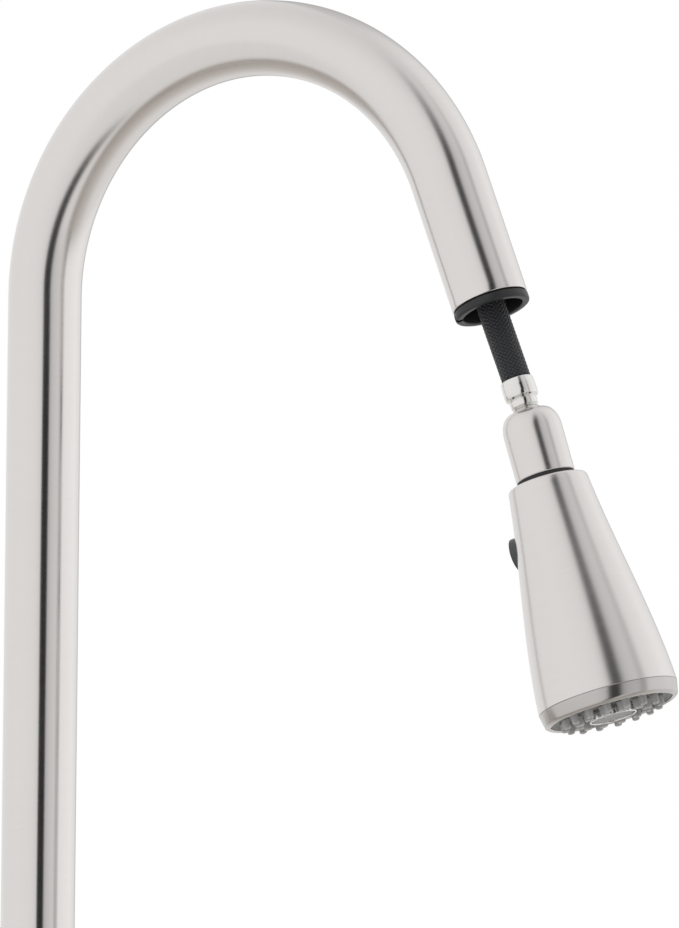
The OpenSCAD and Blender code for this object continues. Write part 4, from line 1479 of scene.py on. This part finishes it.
def build_shank(settings):
    """Threaded shank under the deck."""
    low, high, reach = reach_of("shank", UPRIGHT)
    core = reach - 0.75
    bore = 14.0
    outline = [(bore, low, 0.4), (core, low, 0.6), (core, high, 0.2), (bore, high, 0.2)]
    core_mesh = lathe("shank_core", rounded(outline))
    pitch = settings.sizes.thread_pitch
    ridge = 0.72 * MM
    thread = run_tree(
        link("thread", bpy.data.meshes.new("thread")),
        coil_tree(),
        {
            "Radius": reach * MM - ridge, "Pitch": pitch, "Length": -low * MM - 3 * pitch, "Ridge": ridge,
            "Material": FINISHES["thread_brass"],
        },
    )
    thread.data.transform(Matrix.Translation((0, 0, (low + 2) * MM)))
    shank = link("threaded_shank", join_meshes("threaded_shank", [core_mesh, thread.data]))
    bpy.data.objects.remove(thread)
    finished(shank, FINISHES["thread_brass"], "shank")


def finish_cad_parts():
    """Gives every CAD part that still shows the material of its slot, and plain steel for polished."""
    for name, part in frame["nodes"].items():
        if part.hide_render:
            continue
        material = FINISHES[SLOT_OF_NODE[name]]
        if material == FINISHES["polished_steel"]:
            material = FINISHES["steel"]
        part.data.materials.clear()
        part.data.materials.append(material)


# ---- studio ----

# the studio's walls as compass bearings from +X in degrees, with the brightness of each stretch
WALLS = [
    (-235, 0.90), (-120, 0.93), (-80, 0.90), (-66, 0.84),
    (-36, 0.56), (-28, 0.68), (-8, 0.78), (-4, 0.55), (4, 0.55), (10, 0.98), (60, 1.06), (92, 0.90),
    (110, 0.52), (123, 0.55),
]
# the dark gap in them: its bearing, half its width, its level, where it fades out, and how dark it is
DARK_GAP = (-49.0, 10.5)
GAP_LEVEL = 5.0
GAP_FADES = (38.0, 70.0)
GAP_DEPTH = 0.96
# elevations over which the right hand wall grows dimmer, and by what share
DIMMER_RISES = (11.0, 26.0)
DIMMER = 0.1
# elevations over which the walls turn into the ceiling, and its brightness
CEILING_RISES = (30.0, 85.0)
CEILING = 0.80
# colour below the faucet, by the ray's Y
UNDERSIDE = [
    (-1.0, (0.88, 0.87, 0.86)), (-0.26, (0.86, 0.85, 0.84)), (-0.13, (0.42, 0.39, 0.36)),
    (-0.03, (0.47, 0.435, 0.40)), (0.30, (0.60, 0.57, 0.54)), (0.7, (0.86, 0.85, 0.84)),
]


def build_world():
    """White backdrop for the camera, and for reflections soft walls with one dark gap."""
    world = bpy.data.worlds.new("studio")
    bpy.context.scene.world = world
    world.use_nodes = True
    tree = Tree(world.node_tree)
    ray = tree.add("ShaderNodeTexCoord").outputs["Generated"]
    parts = tree.add("ShaderNodeSeparateXYZ", {"Vector": ray}).outputs
    bearing = tree.math("DEGREES", tree.math("ARCTAN2", parts["Y"], parts["X"]))
    height = tree.math("DEGREES", tree.math("ARCSINE", parts["Z"]))
    first = WALLS[0][0]
    wrapped = tree.math("WRAP", bearing, first + 360.0, float(first))
    share = tree.math("DIVIDE", tree.math("SUBTRACT", wrapped, float(first)), 360.0)
    bright = tree.ramp(share, [((at - first) / 360, (tone, tone, tone)) for at, tone in WALLS])
    walls = tree.add("ShaderNodeSeparateColor", {"Color": bright}).outputs[0]

    # the dark gap's edges grow softer away from the level of the lamps, and it fades out above and below
    level = tree.math("ABSOLUTE", tree.math("SUBTRACT", height, GAP_LEVEL))
    softness = tree.math("MULTIPLY_ADD", level, 0.10, 1.8)
    middle, half = DARK_GAP
    from_gap = tree.math("ABSOLUTE", tree.math("SUBTRACT", bearing, middle))
    sharp_edge = tree.math("MAXIMUM", tree.math("SUBTRACT", half, softness), 0.0)
    gap = tree.spread(from_gap, sharp_edge, tree.math("ADD", half, softness), 1.0, 0.0, smooth=True)
    fade = tree.spread(tree.math("ABSOLUTE", height), *GAP_FADES, GAP_DEPTH, 0.0)
    dark = tree.math("MULTIPLY", gap, fade)
    # the right hand wall is dimmer above the lamps
    dimmer = tree.spread(height, *DIMMER_RISES, 0.0, DIMMER, smooth=True)
    right = tree.spread(parts["X"], 0.3, 0.8, 0.0, 1.0)
    lit = tree.math("MULTIPLY", walls, tree.math("SUBTRACT", 1.0, tree.math("MULTIPLY", dimmer, right)))

    ceiling = tree.spread(height, *CEILING_RISES, 0.0, 1.0)
    lit = tree.math("ADD", lit, tree.math("MULTIPLY", ceiling, tree.math("SUBTRACT", CEILING, lit)))
    # below, the studio is light in front of the faucet and brown grey behind it
    under = tree.ramp(
        tree.math("MULTIPLY_ADD", parts["Y"], 0.5, 0.5), [((at + 1) / 2, tone) for at, tone in UNDERSIDE]
    )
    below = tree.spread(parts["Z"], -0.14, -0.34, 0.0, 1.0, smooth=True)
    around = tree.add("ShaderNodeCombineColor", {"Red": lit, "Green": lit, "Blue": lit})
    studio = tree.mixed(below, around.outputs["Color"], under)
    shown = tree.math("SUBTRACT", 1.0, dark)
    shares = tree.add("ShaderNodeCombineXYZ", {"X": shown, "Y": shown, "Z": shown}).outputs[0]
    gapped = tree.vector("MULTIPLY", studio, shares)
    seen = tree.add("ShaderNodeLightPath").outputs["Is Camera Ray"]
    view = tree.mixed(seen, gapped, (1.0, 1.0, 1.0, 1))
    background = tree.add("ShaderNodeBackground", {"Color": view, "Strength": 1.0})
    tree.add("ShaderNodeOutputWorld", {"Surface": background.outputs[0]})


# the camera's place in metres, its turn, tip and roll in degrees, and its lens in mm
CAMERA_AT = (0.954, -1.372, 0.160)
CAMERA_TURN = 30.94
CAMERA_TIP = 94.68
CAMERA_ROLL = 0.36
CAMERA_LENS = 170.5
# the hose's loop hangs this much lower with the wand docked, in metres
FLOOR_DROP = 0.036
FLOOR_HALF = 1.5


def build_studio(settings):
    """Camera, pale floor, soft lamp and the world."""
    scene = bpy.context.scene
    scene.view_settings.view_transform = "Standard"
    build_world()

    data = bpy.data.cameras.new("camera")
    data.sensor_fit = "AUTO"
    data.sensor_width = 36
    data.lens = CAMERA_LENS
    data.clip_start, data.clip_end = 0.05, 60
    camera = link("camera", data)
    turn = Matrix.Rotation(math.radians(CAMERA_TURN), 4, "Z")
    tip = Matrix.Rotation(math.radians(CAMERA_TIP), 4, "X")
    roll = Matrix.Rotation(math.radians(CAMERA_ROLL), 4, "Z")
    camera.matrix_world = Matrix.Translation(CAMERA_AT) @ turn @ tip @ roll
    scene.camera = camera

    bottom = CAD_BOX[0].z - FLOOR_DROP
    floor_mesh = bpy.data.meshes.new("floor")
    corners = [(FLOOR_HALF * x, FLOOR_HALF * y, bottom) for x, y in ((-1, -1), (1, -1), (1, 1), (-1, 1))]
    floor_mesh.from_pydata(corners, [], [(0, 1, 2, 3)])
    floor = link("floor", floor_mesh)
    made, tree = new_material("pale_floor")
    where = tree.add("ShaderNodeTexCoord").outputs["Object"]
    drift = tree.add("ShaderNodeTexNoise", {"Vector": where, "Scale": 3.0, "Detail": 3.0}).outputs["Fac"]
    tone = settings.studio.floor
    put_out(tree, tree.add("ShaderNodeBsdfPrincipled",
                           {"Base Color": shade(tree, drift, dimmed(tone, 0.98), tone), "Roughness": 0.7}))
    floor_mesh.materials.append(made)
    floor.visible_glossy = False
    floor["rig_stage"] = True

    lamp = bpy.data.lights.new("overhead", "AREA")
    lamp.shape = "DISK"
    lamp.size = 1.6
    lamp.energy = settings.studio.overhead
    hung = link("overhead", lamp)
    hung.location = (0.3, -0.4, 1.9)
    hung.visible_glossy = False
    hung.visible_camera = False


# ---- add-on ----

class FaucetSettings(bpy.types.PropertyGroup):
    """All of the faucet's settings."""

    finishes: bpy.props.PointerProperty(
        type=FaucetFinishes, name="Finishes", description="Colours and gloss"
    )
    sizes: bpy.props.PointerProperty(type=FaucetSizes, name="Sizes", description="Sizes of the pieces")
    studio: bpy.props.PointerProperty(type=FaucetStudio, name="Studio", description="Floor and lamp")


class FAUCET_OT_finishes(bpy.types.Operator):
    """Make the faucet's materials"""

    bl_idname = "faucet.finishes"
    bl_label = "Materials"

    def execute(self, context):
        settings = context.scene.faucet
        make_finishes(settings.finishes, settings.sizes)
        return {"FINISHED"}


class FAUCET_OT_studio(bpy.types.Operator):
    """Set up the camera, floor and soft light"""

    bl_idname = "faucet.studio"
    bl_label = "Studio"

    def execute(self, context):
        build_studio(context.scene.faucet)
        return {"FINISHED"}


class FAUCET_OT_spout(bpy.types.Operator):
    """Build the gooseneck tube, its trim ring and the liner in its mouth"""

    bl_idname = "faucet.spout"
    bl_label = "Spout"

    def execute(self, context):
        build_spout(context.scene.faucet)
        build_mouth_liner()
        return {"FINISHED"}


class FAUCET_OT_hose_end(bpy.types.Operator):
    """Build the hose's ferrule and swivel ball"""

    bl_idname = "faucet.hose_end"
    bl_label = "Hose end"

    def execute(self, context):
        build_hose_end()
        return {"FINISHED"}


class FAUCET_OT_hoses(bpy.types.Operator):
    """Build the braided hose"""

    bl_idname = "faucet.hoses"
    bl_label = "Hoses"

    def execute(self, context):
        build_hoses(context.scene.faucet)
        return {"FINISHED"}


class FAUCET_OT_wand(bpy.types.Operator):
    """Build the wand's neck, shell, bezel and button"""

    bl_idname = "faucet.wand"
    bl_label = "Wand"

    def execute(self, context):
        build_wand()
        build_button()
        return {"FINISHED"}


class FAUCET_OT_spray_face(bpy.types.Operator):
    """Build the spray plate, nozzles and aerator"""

    bl_idname = "faucet.spray_face"
    bl_label = "Spray face"

    def execute(self, context):
        build_spray_face(context.scene.faucet)
        return {"FINISHED"}


class FAUCET_OT_body(bpy.types.Operator):
    """Build the body's foot ring, the lever and the threaded shank"""

    bl_idname = "faucet.body"
    bl_label = "Body and lever"

    def execute(self, context):
        build_body()
        build_lever()
        build_shank(context.scene.faucet)
        return {"FINISHED"}


class FAUCET_OT_parts(bpy.types.Operator):
    """Give the remaining parts their materials"""

    bl_idname = "faucet.parts"
    bl_label = "Other parts"

    def execute(self, context):
        finish_cad_parts()
        return {"FINISHED"}


OPERATORS = (
    FAUCET_OT_finishes, FAUCET_OT_studio, FAUCET_OT_hose_end, FAUCET_OT_hoses, FAUCET_OT_spout,
    FAUCET_OT_wand, FAUCET_OT_spray_face, FAUCET_OT_body, FAUCET_OT_parts,
)


class FAUCET_PT_panel(bpy.types.Panel):
    """Lists the faucet's settings and the steps that build it"""

    bl_idname = "FAUCET_PT_panel"
    bl_label = "Faucet"
    bl_space_type = "VIEW_3D"
    bl_region_type = "UI"
    bl_category = "Faucet"

    def draw(self, context):
        settings = context.scene.faucet
        for group in (settings.sizes, settings.finishes, settings.studio):
            box = self.layout.box()
            for name in group.__annotations__:
                box.prop(group, name)
        for operator in OPERATORS:
            self.layout.operator(operator.bl_idname)


CLASSES = (FaucetFinishes, FaucetSizes, FaucetStudio, FaucetSettings, *OPERATORS, FAUCET_PT_panel)


def register():
    """Registers the classes and the scene's settings."""
    for made in CLASSES:
        bpy.utils.register_class(made)
    bpy.types.Scene.faucet = bpy.props.PointerProperty(type=FaucetSettings)


def unregister():
    """Removes the scene's settings and the classes."""
    del bpy.types.Scene.faucet
    for made in reversed(CLASSES):
        bpy.utils.unregister_class(made)


def main():
    """Builds the faucet."""
    register()
    for operator in OPERATORS:
        group, name = operator.bl_idname.split(".")
        getattr(getattr(bpy.ops, group), name)()
    sizes = {
        "cad": [list(corner) for corner in CAD_BOX],
        "visual": [list(corner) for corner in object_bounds()],
    }


if __name__ == "__main__":
    main()
